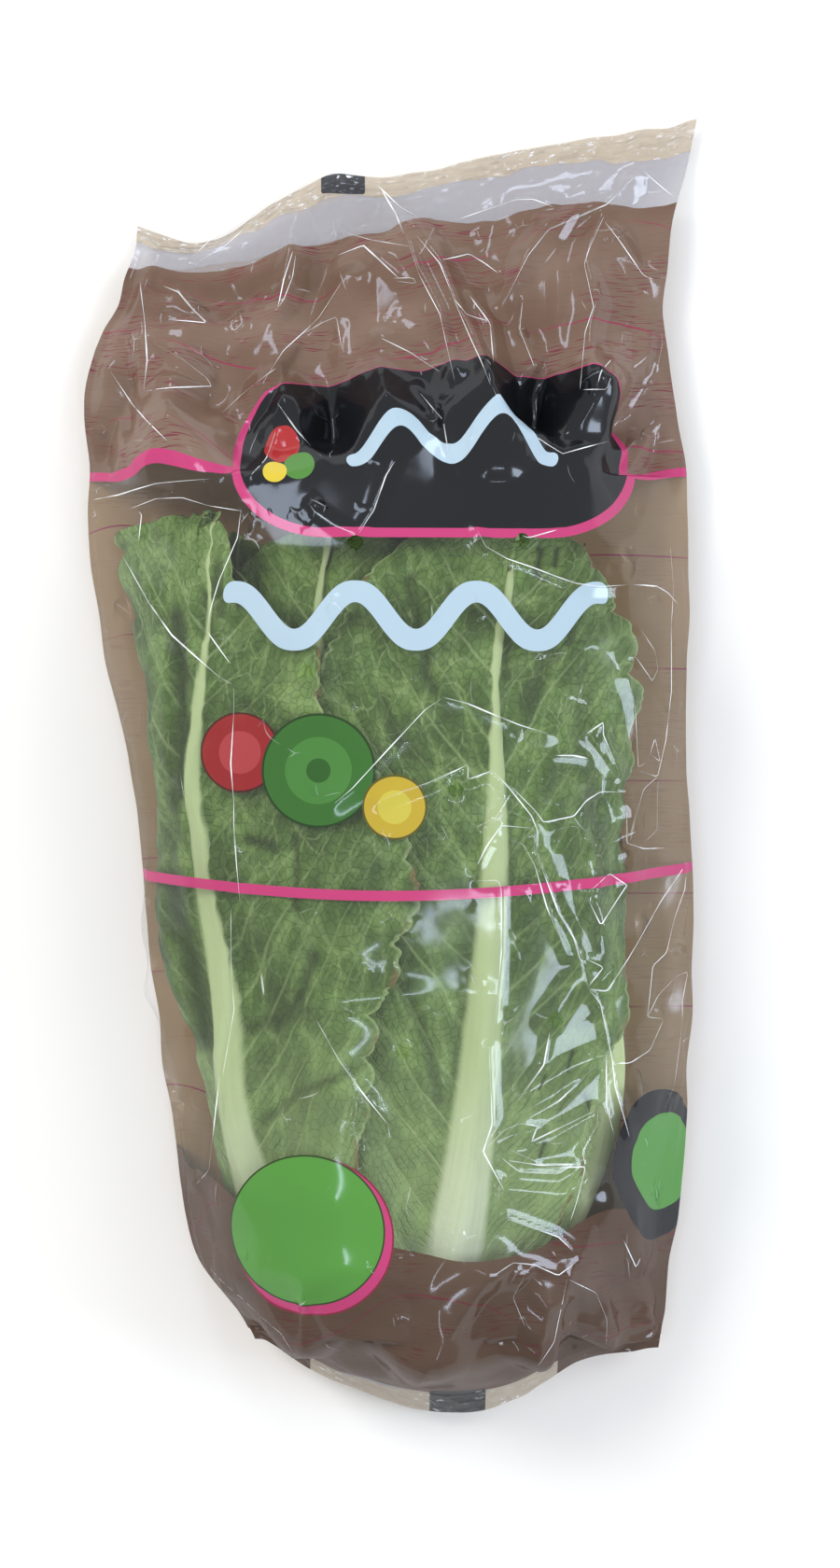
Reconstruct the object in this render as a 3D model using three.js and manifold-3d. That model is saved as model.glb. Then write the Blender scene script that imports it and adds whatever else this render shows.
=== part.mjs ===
// A romaine lettuce head lying on its back in a closed bag of clear film, in millimetres.
// +Y runs from the cut butt to the leaf tips, +Z is up, and the origin is under the middle of the bag.
// Every leaf is a blade on its own shell round the head's axis. Each shell stands on all the leaves
// inside it, ribs included, so the leaves nest like those of a real head and never cross.
import * as THREE from 'three';
import { mergeVertices } from 'three/addons/utils/BufferGeometryUtils.js';
import Module from 'manifold-3d';

const wasm = await Module();
wasm.setup();

// ---- Driving dimensions ----
const BLADE = 0.8; // thickness of a leaf blade
const FILM = 0.9; // wall of the bag
const CLEAR = 0.4; // air between pieces that touch
const FADE = 12; // how far past its own margin a leaf goes on lifting the shells outside it
const MARGIN_SLACK = 3; // how far past its margin that lift stays whole
const RIB_SLACK = 5; // and past the sides of its rib
const BUTT_Y = -191; // cut face of the stem
const HEART_Y = -167; // where the stem ends and the heart begins

// Place of the head's axis, [y, x] and [y, z].
const AXIS_X = [[-200, 10], [-150, 11], [-106, 9.5], [-58, 6.5], [-26, 3.5], [6, 1], [40, 0], [95, -2]];
const AXIS_Z = [[-195, 35], [-150, 40.5], [-106, 43.5], [-26, 44], [40, 41], [74, 35], [95, 32]];
// Half width and half height of the innermost shell, [y, size].
const HEART_WIDE = [
  [-195, 17.5], [-175, 20], [-150, 24], [-100, 29], [-40, 33], [10, 33], [45, 27], [75, 18], [95, 14],
];
const HEART_HIGH = [
  [-195, 17.5], [-175, 19], [-150, 21], [-100, 23], [-40, 24], [10, 23], [45, 19], [75, 13], [95, 10],
];
// Half width and half height of the whole head.
const HEAD_WIDE = [
  [-195, 24], [-185, 31], [-175, 40], [-160, 53], [-138, 64], [-106, 72],
  [-58, 78], [-26, 78], [6, 80], [40, 86], [74, 91], [95, 92],
];
const HEAD_HIGH = [[-195, 24], [-175, 32], [-150, 38], [-106, 41], [-26, 43], [40, 41], [74, 36], [95, 32]];
const STACK = 11; // how much of that the blades and ribs themselves take up, on average

// A leaf's half width along its length, as a share of its widest, and its rib, [share of length, mm].
const OUTLINE = [
  [0, 0.3], [0.1, 0.48], [0.25, 0.75], [0.45, 0.94], [0.65, 1], [0.82, 0.95], [0.92, 0.76], [0.97, 0.5],
  [1, 0.16],
];
const RIB_THICK = [[0, 5], [0.15, 4.4], [0.35, 3.2], [0.6, 1.8], [0.85, 0.8], [1, 0.4]];
const RIB_WIDE = [[0, 15], [0.15, 11], [0.35, 7.5], [0.6, 5], [0.85, 3], [1, 2]];

// Leaves from the heart outwards: azimuth at mid length in degrees (0 is +X, 90 is up), how far that
// turns from base to tip, y of the base and of the tip, half width, how much narrower the side of the
// larger azimuths is near the tip (the other side, if negative), and the room kept outside the blade.
const LEAVES = [
  { azimuth: 95, turn: 0, base: -180, tip: 62, wide: 42, lean: 0.1, gap: 1.0 },
  { azimuth: -110, turn: 4, base: -181, tip: 66, wide: 44, lean: -0.15, gap: 1.0 },
  { azimuth: 20, turn: 0, base: -182, tip: 70, wide: 46, lean: 0.15, gap: 1.1 },
  { azimuth: 178, turn: -6, base: -183, tip: 72, wide: 48, lean: -0.1, gap: 1.2 },
  { azimuth: -38, turn: 0, base: -184, tip: 76, wide: 50, lean: 0.1, gap: 1.3 },
  { azimuth: 116, turn: -6, base: -184, tip: 84, wide: 50, lean: -0.2, gap: 1.6 },
  { azimuth: -146, turn: 0, base: -185, tip: 78, wide: 54, lean: 0.15, gap: 1.6 },
  { azimuth: 8, turn: 0, base: -186, tip: 70, wide: 56, lean: -0.15, gap: 2.0 },
  { azimuth: -76, turn: 4, base: -186, tip: 82, wide: 58, lean: 0.1, gap: 2.2 },
  { azimuth: 69, turn: -25, base: -187, tip: 86, wide: 65, lean: -0.22, gap: 2.6 },
  { azimuth: 147, turn: -12, base: -188, tip: 85, wide: 70, lean: -0.45, gap: 3.0 },
];
const INNER_ROWS = 11;
const OUTER_ROWS = 18;
const FIRST_OUTER = 6; // the first leaf that is seen at full length
const RIB_COLUMNS = 2; // from the middle of the rib to its edge
const BLADE_COLUMNS = 4; // from the rib's edge to the leaf's margin
const SCALLOP = 0.045; // how far the margin swings in and out, as a share of the half width

// ---- Numbers along the head ----
// A smooth curve through [place, value] pairs, level past both ends.
function along(table, place) {
  const last = table.length - 1;
  if (place <= table[0][0]) return table[0][1];
  if (place >= table[last][0]) return table[last][1];
  let k = 0;
  while (place > table[k + 1][0]) k++;
  const slope = (n) => {
    const before = table[Math.max(n - 1, 0)];
    const after = table[Math.min(n + 1, last)];
    return (after[1] - before[1]) / (after[0] - before[0]);
  };
  const [[x0, y0], [x1, y1]] = [table[k], table[k + 1]];
  const step = x1 - x0;
  const t = (place - x0) / step;
  const bend = step * (t * (1 - t) ** 2 * slope(k) - t * t * (1 - t) * slope(k + 1));
  return y0 + (y1 - y0) * t * t * (3 - 2 * t) + bend;
}

const clamp = (x, low, high) => Math.min(Math.max(x, low), high);
const radians = (degrees) => (degrees * Math.PI) / 180;

// 1 at or below from, 0 at or above to.
function fall(from, to, x) {
  const t = clamp((x - from) / (to - from), 0, 1);
  return 1 - t * t * (3 - 2 * t);
}

// ---- Shells ----
const shellShare = (i) => i / (LEAVES.length - 1);

// Half width and half height of leaf i's shell before the leaves inside it are counted.
function bareShell(i, phi, y) {
  const swell = 1 + 0.1 * Math.sin(3 * phi + y / 23) + 0.07 * Math.sin(5 * phi - y / 17 + 1.3);
  const share = shellShare(i) * swell;
  const [insideA, insideB] = [along(HEART_WIDE, y), along(HEART_HIGH, y)];
  const roomA = Math.max(0, along(HEAD_WIDE, y) - insideA - STACK);
  const roomB = Math.max(0, along(HEAD_HIGH, y) - insideB - STACK);
  return [insideA + share * roomA, insideB + share * roomB];
}

// Half axes of the ellipse that leaf i's widths are measured along.
function mainEllipse(i, y) {
  const [a, b] = bareShell(i, 0, y);
  return [a + shellShare(i) * STACK, b + shellShare(i) * STACK];
}

const ellipseSpeed = (a, b, phi) => Math.hypot(a * Math.sin(phi), b * Math.cos(phi));

// Length along an ellipse between two angles, by Simpson's rule.
function arcLength(a, b, from, to) {
  const parts = 4;
  const h = (to - from) / (2 * parts);
  let sum = ellipseSpeed(a, b, from) + ellipseSpeed(a, b, to);
  for (let k = 1; k < 2 * parts; k++) sum += (k % 2 ? 4 : 2) * ellipseSpeed(a, b, from + k * h);
  return (sum * h) / 3;
}

// The angle that lies a given length along an ellipse from another angle.
function angleAt(a, b, from, length) {
  const steps = Math.max(1, Math.ceil(Math.abs(length) / 2));
  let phi = from;
  for (let k = 0; k < steps; k++) {
    const half = phi + length / steps / 2 / ellipseSpeed(a, b, phi);
    phi += length / steps / ellipseSpeed(a, b, half);
  }
  return phi;
}

const shareOf = (leaf, y) => (y - leaf.base) / (leaf.tip - leaf.base);
const ribAngle = (leaf, v) => radians(leaf.azimuth + leaf.turn * (clamp(v, 0, 1) - 0.5));

// A leaf's half width to one side (1 or -1) of its rib.
function halfWidth(leaf, v, side) {
  const lean = Math.max(0, leaf.lean * side) * (1 - fall(0.5, 0.9, v));
  return leaf.wide * along(OUTLINE, clamp(v, 0, 1)) * (1 - lean);
}

// Extra thickness that the rib gives a leaf, s mm to the side of its middle.
function ribHeight(v, s) {
  const q = Math.abs(s) / along(RIB_WIDE, clamp(v, 0, 1));
  return q < 1 ? along(RIB_THICK, clamp(v, 0, 1)) * (1 - q * q) ** 2 : 0;
}

// How much leaf j lifts the shells outside it.
function lift(j, phi, y) {
  const leaf = LEAVES[j];
  const v = shareOf(leaf, y);
  const [a, b] = mainEllipse(j, y);
  const middle = ribAngle(leaf, v);
  const turned = THREE.MathUtils.euclideanModulo(phi - middle + Math.PI, 2 * Math.PI) - Math.PI;
  const s = arcLength(a, b, middle, middle + turned);
  const wide = halfWidth(leaf, v, Math.sign(s)) + MARGIN_SLACK;
  const end = leaf.tip + MARGIN_SLACK;
  const blade = fall(wide, wide + FADE, Math.abs(s)) * (BLADE + leaf.gap);
  const rib = ribHeight(v, Math.max(0, Math.abs(s) - RIB_SLACK));
  return fall(end, end + FADE, y) * (blade + rib);
}

// A point of leaf i's shell, out mm from its inner face.
function shellPoint(i, phi, y, out) {
  let rise = out;
  for (let j = 0; j < i; j++) rise += lift(j, phi, y);
  const [a, b] = bareShell(i, phi, y);
  return [along(AXIS_X, y) + (a + rise) * Math.cos(phi), y, along(AXIS_Z, y) + (b + rise) * Math.sin(phi)];
}

// ---- Closed solids from grids ----
// A closed mesh between two grids of the same size, split into triangles alike on both.
function slab(inner, outer) {
  const [rows, columns] = [inner.length, inner[0].length];
  const points = [...inner.flat(), ...outer.flat()];
  const at = (r, c, side) => side * rows * columns + r * columns + c;
  const faces = [];
  const quad = (p, q, r, s) => faces.push(p, q, r, p, r, s);
  for (let r = 0; r + 1 < rows; r++)
    for (let c = 0; c + 1 < columns; c++) {
      faces.push(at(r, c, 1), at(r, c + 1, 1), at(r + 1, c + 1, 1));
      faces.push(at(r, c, 1), at(r + 1, c + 1, 1), at(r + 1, c, 1));
      faces.push(at(r, c, 0), at(r + 1, c + 1, 0), at(r, c + 1, 0));
      faces.push(at(r, c, 0), at(r + 1, c, 0), at(r + 1, c + 1, 0));
    }
  for (let r = 0; r + 1 < rows; r++) {
    quad(at(r, 0, 0), at(r, 0, 1), at(r + 1, 0, 1), at(r + 1, 0, 0));
    quad(at(r, columns - 1, 1), at(r, columns - 1, 0), at(r + 1, columns - 1, 0), at(r + 1, columns - 1, 1));
  }
  for (let c = 0; c + 1 < columns; c++) {
    quad(at(0, c, 1), at(0, c, 0), at(0, c + 1, 0), at(0, c + 1, 1));
    quad(at(rows - 1, c, 0), at(rows - 1, c, 1), at(rows - 1, c + 1, 1), at(rows - 1, c + 1, 0));
  }
  return facingOut(points, faces);
}

// A closed mesh from rings of an even number of points, with each end ring zipped shut across.
function loft(rings) {
  const count = rings[0].length;
  const faces = [];
  const face = (...corners) => {
    if (new Set(corners).size === 3) faces.push(...corners);
  };
  for (let r = 0; r + 1 < rings.length; r++)
    for (let k = 0; k < count; k++) {
      const [p, q] = [r * count + k, r * count + ((k + 1) % count)];
      face(p, q, q + count);
      face(p, q + count, p + count);
    }
  const last = (rings.length - 1) * count;
  const across = (k) => (count - k) % count;
  for (let k = 0; k < count / 2; k++) {
    face(k + 1, k, across(k));
    face(k + 1, across(k), across(k + 1));
    face(last + k, last + k + 1, last + across(k + 1));
    face(last + k, last + across(k + 1), last + across(k));
  }
  return facingOut(rings.flat(), faces);
}

// The geometry of these faces, all turned round if they enclose less than nothing.
function facingOut(points, faces) {
  let volume = 0;
  for (let f = 0; f < faces.length; f += 3) {
    const [p, q, r] = [0, 1, 2].map((k) => new THREE.Vector3(...points[faces[f + k]]));
    volume += p.dot(q.cross(r));
  }
  if (volume < 0) faces.reverse();
  const geometry = new THREE.BufferGeometry();
  geometry.setAttribute('position', new THREE.Float32BufferAttribute(points.flat(), 3));
  geometry.setIndex(faces);
  return geometry;
}

function toSolid(geometry) {
  const bare = geometry.clone();
  bare.deleteAttribute('normal');
  bare.deleteAttribute('uv');
  const merged = mergeVertices(bare, 1e-4);
  return new wasm.Manifold(new wasm.Mesh({
    numProp: 3,
    vertProperties: new Float32Array(merged.attributes.position.array),
    triVerts: new Uint32Array(merged.index.array),
  }));
}

function toGeometry(solid) {
  const { vertProperties, triVerts } = solid.getMesh();
  const geometry = new THREE.BufferGeometry();
  geometry.setAttribute('position', new THREE.Float32BufferAttribute(vertProperties, 3));
  geometry.setIndex(new THREE.BufferAttribute(triVerts, 1));
  return geometry;
}

// ---- Leaves ----
// How far the blade waves out of its shell, s mm to the side of its rib. It grows towards the margin.
function waves(i, y, s) {
  const short = Math.sin(y / 5.6 + 0.9 * Math.sign(s) + 1.7 * i) * Math.cos(s / 8 + i);
  const long = Math.sin(y / 9 - s / 6 + 2.3 * i);
  return LEAVES[i].gap * (0.3 * short + 0.18 * long) * Math.min(1, Math.abs(s) / LEAVES[i].wide);
}

// Places from the middle of the rib to one margin: closer together over the rib.
function columnPlaces(v, wide) {
  const rib = Math.min(along(RIB_WIDE, v), 0.8 * wide);
  const places = [];
  for (let k = 1; k <= RIB_COLUMNS; k++) places.push((rib * k) / RIB_COLUMNS);
  for (let k = 1; k <= BLADE_COLUMNS; k++) places.push(rib + ((wide - rib) * k) / BLADE_COLUMNS);
  return places;
}

function leafGeometry(i) {
  const leaf = LEAVES[i];
  const rows = i < FIRST_OUTER ? INNER_ROWS : OUTER_ROWS;
  const [inner, outer] = [[], []];
  for (let r = 0; r <= rows; r++) {
    const v = 1 - (1 - r / rows) ** 1.25;
    const y = leaf.base + v * (leaf.tip - leaf.base);
    const [left, right] = [1, -1].map((side) => {
      const scallop = 1 + SCALLOP * v * Math.sin(y / 6.1 + 2 * i + side);
      return columnPlaces(v, halfWidth(leaf, v, side) * scallop);
    });
    const [a, b] = mainEllipse(i, y);
    const [innerRow, outerRow] = [[], []];
    for (const s of [...left.toReversed(), 0, ...right.map((place) => -place)]) {
      const phi = angleAt(a, b, ribAngle(leaf, v), s);
      const wave = waves(i, y, s) + leaf.gap / 2;
      innerRow.push(shellPoint(i, phi, y, wave));
      outerRow.push(shellPoint(i, phi, y, wave + BLADE + ribHeight(v, s)));
    }
    inner.push(innerRow);
    outer.push(outerRow);
  }
  return slab(inner, outer);
}

// ---- Heart and stem ----
// The core's size along the head, [y, share of the innermost shell].
const CORE_SHARE = [[HEART_Y, 0.9], [-100, 0.92], [-40, 0.9], [0, 0.72], [30, 0.45], [48, 0.18]];
const CORE_SIDES = 16;
const HEART_LEAVES = 6;
const HEART_ROWS = 7;
const HEART_TURN = 137.5; // degrees from one heart leaf to the next

// A point inside the innermost shell, at a share of its size.
function heartPoint(share, phi, y, out = 0) {
  const [a, b] = [along(HEART_WIDE, y) * share + out, along(HEART_HIGH, y) * share + out];
  return [along(AXIS_X, y) + a * Math.cos(phi), y, along(AXIS_Z, y) + b * Math.sin(phi)];
}

// One of the small leaves that stand free of the core towards their tips.
function heartLeaf(k) {
  const share = 0.86 - 0.13 * k;
  const [base, tip] = [-60 + 9 * k, 58 + 1.5 * k];
  const [inner, outer] = [[], []];
  for (let r = 0; r <= HEART_ROWS; r++) {
    const v = r / HEART_ROWS;
    const y = base + v * (tip - base);
    const reach = 1.15 * Math.sqrt(1 - 0.85 * v ** 3);
    const middle = radians(40 + HEART_TURN * k);
    const angles = [-3, -2, -1, 0, 1, 2, 3].map((step) => middle + (step / 3) * reach);
    const ruffle = (phi) => 0.5 * v * Math.sin(6 * phi + y / 5);
    inner.push(angles.map((phi) => heartPoint(share, phi, y, ruffle(phi))));
    outer.push(angles.map((phi) => heartPoint(share, phi, y, ruffle(phi) + BLADE)));
  }
  return toSolid(slab(inner, outer));
}

// The core of the heart with its small leaves sunk into it.
function heartGeometry() {
  const rings = CORE_SHARE.map(([y, share]) => (
    Array.from({ length: CORE_SIDES }, (_, k) => heartPoint(share, (2 * Math.PI * k) / CORE_SIDES, y))));
  let heart = toSolid(loft(rings));
  for (let k = 0; k < HEART_LEAVES; k++) heart = heart.add(heartLeaf(k));
  return toGeometry(heart);
}

// The cut stem that the leaves grow from: a short, slightly tapered butt with a bevelled cut edge.
function stemGeometry() {
  const sides = 20;
  const ends = [[BUTT_Y, 13], [BUTT_Y + 1.5, 15], [BUTT_Y + 9, 16], [HEART_Y - CLEAR, 16.5]]; // y, radius
  return loft(ends.map(([y, radius]) => Array.from({ length: sides }, (_, k) => {
    const phi = (2 * Math.PI * k) / sides;
    return [along(AXIS_X, y) + radius * Math.cos(phi), y, along(AXIS_Z, y) + radius * Math.sin(phi)];
  })));
}

// ---- Film bag ----
// Place of the left and right folds, [y, x], and how high the film stands where the bag is empty, [y, z].
const LEFT_FOLD = [
  [-221, -40], [-205, -43], [-190, -50], [-173, -63], [-157, -71], [-122, -76], [-58, -84], [6, -91],
  [38, -99], [74, -104], [100, -104.6], [130, -104.6], [165, -92], [190, -87], [221, -87],
];
const RIGHT_FOLD = [
  [-221, 86], [-198, 92], [-154, 97], [-122, 100], [-58, 103], [-10, 101], [38, 101], [86, 101],
  [134, 96], [163, 93], [190, 97], [221, 105],
];
const EMPTY_HIGH = [[70, 76], [100, 56], [120, 42], [140, 32], [160, 25], [180, 17], [200, 9], [221, 5]];
const FOLD_HIGH = 12; // height of the side folds
const FOLD_WALL = 3; // how much thicker the wall is at a fold, where both sheets run together
// The bag lies on two flat strips across its underside, [y, half width]: a wide one under the butt end
// and a narrow one under the leaves. Elsewhere the underside is a little higher.
const STRIPS = [[-137, 36], [66, 12]];
const UNDER_HALF = 36; // half width of the underside between the strips
const UNDER_HIGH = 1; // and its height
// Plan of the two welded ends, [x, y], and how long and how high they are.
const TOP_EDGE = [
  [-87, 185], [-72, 180], [-57, 181], [-40, 193], [-22, 202], [0, 202], [45, 211], [90, 218], [105, 221],
];
const BOTTOM_EDGE = [
  [-43, -196], [-26, -207], [0, -217], [24, -221], [42, -217], [58, -206], [72, -201], [92, -199],
];
const BAG_END = 221; // furthest reach of either end
const WELD = 9;
const WELD_GAP = 0.4; // the cavity's height where a weld begins
const TOP_WELD_HIGH = 5;
const BOTTOM_WELD_HIGH = 14;
const TOP_START = 140; // rows beyond this and the next lean over until they match the ends
const BOTTOM_START = -184;
const END_ROWS = 4; // rows from there to where a weld begins
const ROW_STEP = 13.5; // and the step between the upright rows
const BAG_COLUMNS = 20; // columns from fold to fold
const REACH = 22; // how far to each side of a row the leaves are looked at
const ROOM = 2.4; // air between the leaves and the film pulled round them
const FLOOR_ROOM = 1.3; // and under them
const VENT_RADIUS = 2.6;
const PUNCH = 60; // length of the punch that cuts a vent
const PUNCH_FOOT = 10; // how far above the head's axis it stops, so that it cuts the upper sheet only
const VENTS = [[-12, 73], [43, 74], [21, -8], [4, -94], [54, -84]]; // x, y of the punched holes

// Every corner of a mesh, and the middle of every edge.
function cornersAndMiddles(geometry) {
  const { array } = geometry.attributes.position;
  const corner = (k) => array.slice(3 * k, 3 * k + 3);
  const points = Array.from({ length: array.length / 3 }, (_, k) => corner(k));
  const index = geometry.index.array;
  for (let f = 0; f < index.length; f += 3) {
    for (const [m, n] of [[0, 1], [1, 2], [2, 0]]) {
      if (index[f + m] > index[f + n]) continue;
      const [p, q] = [corner(index[f + m]), corner(index[f + n])];
      points.push([(p[0] + q[0]) / 2, (p[1] + q[1]) / 2, (p[2] + q[2]) / 2]);
    }
  }
  return points;
}

// The upper (side 1) or lower (side -1) hull of [x, z] points, from left to right.
function hullChain(points, side) {
  const sorted = [...points].sort((p, q) => p[0] - q[0] || side * (p[1] - q[1]));
  const chain = [];
  for (const p of sorted) {
    while (chain.length > 1) {
      const [o, q] = chain.slice(-2);
      const turn = (q[0] - o[0]) * (p[1] - o[1]) - (q[1] - o[1]) * (p[0] - o[0]);
      if (side * turn < 0) break;
      chain.pop();
    }
    chain.push(p);
  }
  return chain;
}

// Points at even steps along a chain, without its last.
function evenly(chain, count) {
  const lengths = [0];
  for (let k = 1; k < chain.length; k++) {
    lengths.push(lengths[k - 1] + Math.hypot(chain[k][0] - chain[k - 1][0], chain[k][1] - chain[k - 1][1]));
  }
  return Array.from({ length: count }, (_, n) => {
    const at = (lengths.at(-1) * n) / count;
    const k = Math.max(1, lengths.findIndex((length) => length >= at));
    const t = (at - lengths[k - 1]) / (lengths[k] - lengths[k - 1]);
    return [0, 1].map((c) => chain[k - 1][c] + t * (chain[k][c] - chain[k - 1][c]));
  });
}

// One ring of the bag, wall mm outside its inner face: film pulled taut round the leaves near it,
// between two folds. It starts at the left fold and goes over the top.
function bagRing(y, leftY, rightY, leafPoints, wall) {
  const left = along(LEFT_FOLD, leftY) + FOLD_WALL * (FILM - wall);
  const right = along(RIGHT_FOLD, rightY) - FOLD_WALL * (FILM - wall);
  const room = ROOM + wall;
  const points = [];
  for (const p of leafPoints) {
    if (Math.abs(p[1] - y) > REACH) continue;
    for (let k = 0; k < 8; k++) {
      const turn = (k * Math.PI) / 4;
      const rise = (k < 4 ? room : FLOOR_ROOM + wall) * Math.sin(turn);
      points.push([p[0] + room * Math.cos(turn), p[2] + rise]);
    }
  }
  const [middle, half] = [(left + right) / 2, (right - left) / 2];
  const strip = STRIPS.find(([place]) => Math.abs(place - y) < ROW_STEP);
  const [underHalf, underHigh] = strip ? [strip[1], 0] : [UNDER_HALF, UNDER_HIGH];
  for (const side of [-1, 1]) points.push([middle + side * underHalf, underHigh + FILM - wall]);
  points.push([left, FOLD_HIGH], [right, FOLD_HIGH]);
  if (y >= EMPTY_HIGH[0][0]) {
    for (const t of [-0.7, -0.4, 0, 0.4, 0.7]) {
      points.push([middle + t * half, (along(EMPTY_HIGH, y) + wall) * (1 - 0.4 * t * t)]);
    }
  }
  const inside = points.filter((p) => p[0] >= left && p[0] <= right);
  const over = evenly(hullChain(inside, 1), BAG_COLUMNS);
  const under = evenly(hullChain(inside, -1).reverse(), BAG_COLUMNS);
  return [...over, ...under].map(([x, z]) => [x, y, z]);
}

// A ring moved t of the way from row start to the plan of an end, and squeezed flat towards the weld,
// which begins at shut. The outer face is squeezed a little later than the inner one.
function leaningRing(start, edge, weldHigh, shut, t, leafPoints, wall) {
  const length = BAG_END - Math.abs(start);
  const squeeze = fall(0.6 * shut, shut, t - wall / length);
  const leaned = (end) => start + t * (end - start);
  const [middleY, leftY, rightY] = [Math.sign(start) * BAG_END, edge[0][1], edge.at(-1)[1]].map(leaned);
  return bagRing(middleY, leftY, rightY, leafPoints, wall).map(([x, , z], k) => {
    const side = k % BAG_COLUMNS === 0 ? 0 : Math.sign(BAG_COLUMNS - k);
    const flat = weldHigh + side * (WELD_GAP / 2 + wall);
    return [x, leaned(along(edge, x)), squeeze * z + (1 - squeeze) * flat];
  });
}

// The rings from one upright row to an end. The cavity stops where the weld begins.
function endRings(start, edge, weldHigh, leafPoints, wall) {
  const shut = 1 - WELD / (BAG_END - Math.abs(start));
  const steps = Array.from({ length: END_ROWS }, (_, k) => (shut * (k + 1)) / END_ROWS);
  if (wall > 0) steps.push(1);
  return steps.map((t) => leaningRing(start, edge, weldHigh, shut, t, leafPoints, wall));
}

function bagBody(leafPoints, wall) {
  const rows = Math.round((TOP_START - BOTTOM_START) / ROW_STEP);
  const middle = Array.from({ length: rows + 1 }, (_, k) => {
    const y = BOTTOM_START + ((TOP_START - BOTTOM_START) * k) / rows;
    return bagRing(y, y, y, leafPoints, wall);
  });
  return toSolid(loft([
    ...endRings(BOTTOM_START, BOTTOM_EDGE, BOTTOM_WELD_HIGH, leafPoints, wall).reverse(),
    ...middle,
    ...endRings(TOP_START, TOP_EDGE, TOP_WELD_HIGH, leafPoints, wall),
  ]));
}

function filmGeometry(leafPoints) {
  let bag = bagBody(leafPoints, FILM).subtract(bagBody(leafPoints, 0));
  for (const [x, y] of VENTS) {
    const punch = new THREE.CylinderGeometry(VENT_RADIUS, VENT_RADIUS, PUNCH, 12);
    punch.rotateX(Math.PI / 2).translate(x, y, along(AXIS_Z, y) + PUNCH_FOOT + PUNCH / 2);
    bag = bag.subtract(toSolid(punch));
  }
  return toGeometry(bag);
}

// ---- The bagged head ----
function named(name, geometry, colour, roughness) {
  const material = new THREE.MeshStandardMaterial({ color: colour, roughness, metalness: 0 });
  const mesh = new THREE.Mesh(geometry, material);
  mesh.name = name;
  return mesh;
}

const group = new THREE.Group();
group.add(named('stem', stemGeometry(), 0xe3e6c4, 0.6));
group.add(named('heart', heartGeometry(), 0xcddc8f, 0.5));
const leafGeometries = LEAVES.map((_, i) => leafGeometry(i));
leafGeometries.forEach((geometry, i) => {
  const colour = new THREE.Color(0xb9cf7f).lerp(new THREE.Color(0x4f6f35), shellShare(i));
  group.add(named(`leaf_${String(i + 1).padStart(2, '0')}`, geometry, colour, 0.5));
});
const leafPoints = leafGeometries.flatMap((geometry) => cornersAndMiddles(geometry));
group.add(named('film_bag', filmGeometry(leafPoints), 0xd8d2cc, 0.15));

export default group;
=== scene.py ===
# A head of romaine lettuce in its closed bag of printed film, lying on its back.
# Lengths are in millimetres until a mesh is made, and are then turned into metres.
import math

import bpy
import numpy as np
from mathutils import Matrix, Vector


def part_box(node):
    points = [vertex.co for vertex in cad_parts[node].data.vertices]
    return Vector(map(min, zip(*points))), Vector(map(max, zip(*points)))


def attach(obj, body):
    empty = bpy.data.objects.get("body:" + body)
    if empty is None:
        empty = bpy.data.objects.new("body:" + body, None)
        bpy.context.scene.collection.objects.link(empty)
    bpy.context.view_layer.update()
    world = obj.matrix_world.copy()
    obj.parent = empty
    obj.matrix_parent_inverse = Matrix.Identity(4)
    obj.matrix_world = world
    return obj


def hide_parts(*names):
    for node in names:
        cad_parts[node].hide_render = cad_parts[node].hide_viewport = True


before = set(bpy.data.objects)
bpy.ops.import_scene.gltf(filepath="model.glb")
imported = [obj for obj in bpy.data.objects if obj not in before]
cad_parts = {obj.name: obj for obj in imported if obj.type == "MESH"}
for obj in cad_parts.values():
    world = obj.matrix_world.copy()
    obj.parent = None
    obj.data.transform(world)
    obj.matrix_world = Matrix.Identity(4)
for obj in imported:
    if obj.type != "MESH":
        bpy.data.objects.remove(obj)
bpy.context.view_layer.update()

# ---- Studio ----
# A camera straight above the bag, a plain pale table under it, two large soft lamps, and five long
# ones, as in a shop, that show in the film: its creases and bulges catch the thin ones.
MM = 0.001
FRAME_HIGH = 537.6  # what the camera takes in from top to bottom, at the table
FRAME_CENTRE = (9.3, -6.4)
CAMERA_HIGH = 2000
SENSOR = 36
FLOOR_HALF = 6000
SKY_STRENGTH = 0.56


def linear(colour):
    """An sRGB hex colour as linear red, green, blue and alpha."""
    channels = [int(colour[k:k + 2], 16) / 255 for k in (1, 3, 5)]
    return (*[c / 12.92 if c <= 0.04045 else ((c + 0.055) / 1.055) ** 2.4 for c in channels], 1)


def node(material, kind, *inputs, **settings):
    """Adds a node. Inputs fill its sockets in order; settings are its properties, or sockets by name.
    Each input is a number, a colour, or the node or socket that feeds it."""
    made = material.node_tree.nodes.new("ShaderNode" + kind)
    for name in filter(lambda name: hasattr(made, name), settings):
        setattr(made, name, settings[name])
    given = [(made.inputs[name.replace("_", " ")], settings[name]) for name in settings
             if not hasattr(made, name)]
    given += zip([socket for socket in made.inputs if socket.enabled], inputs)
    for socket, value in given:
        if isinstance(value, bpy.types.Node):
            value = next(output for output in value.outputs if output.enabled)
        if isinstance(value, bpy.types.NodeSocket):
            material.node_tree.links.new(value, socket)
        else:
            socket.default_value = linear(value) if isinstance(value, str) else value
    return made


def new_material(name):
    made = bpy.data.materials.new(name)
    made.use_nodes = True
    made.node_tree.nodes.clear()
    return made


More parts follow.
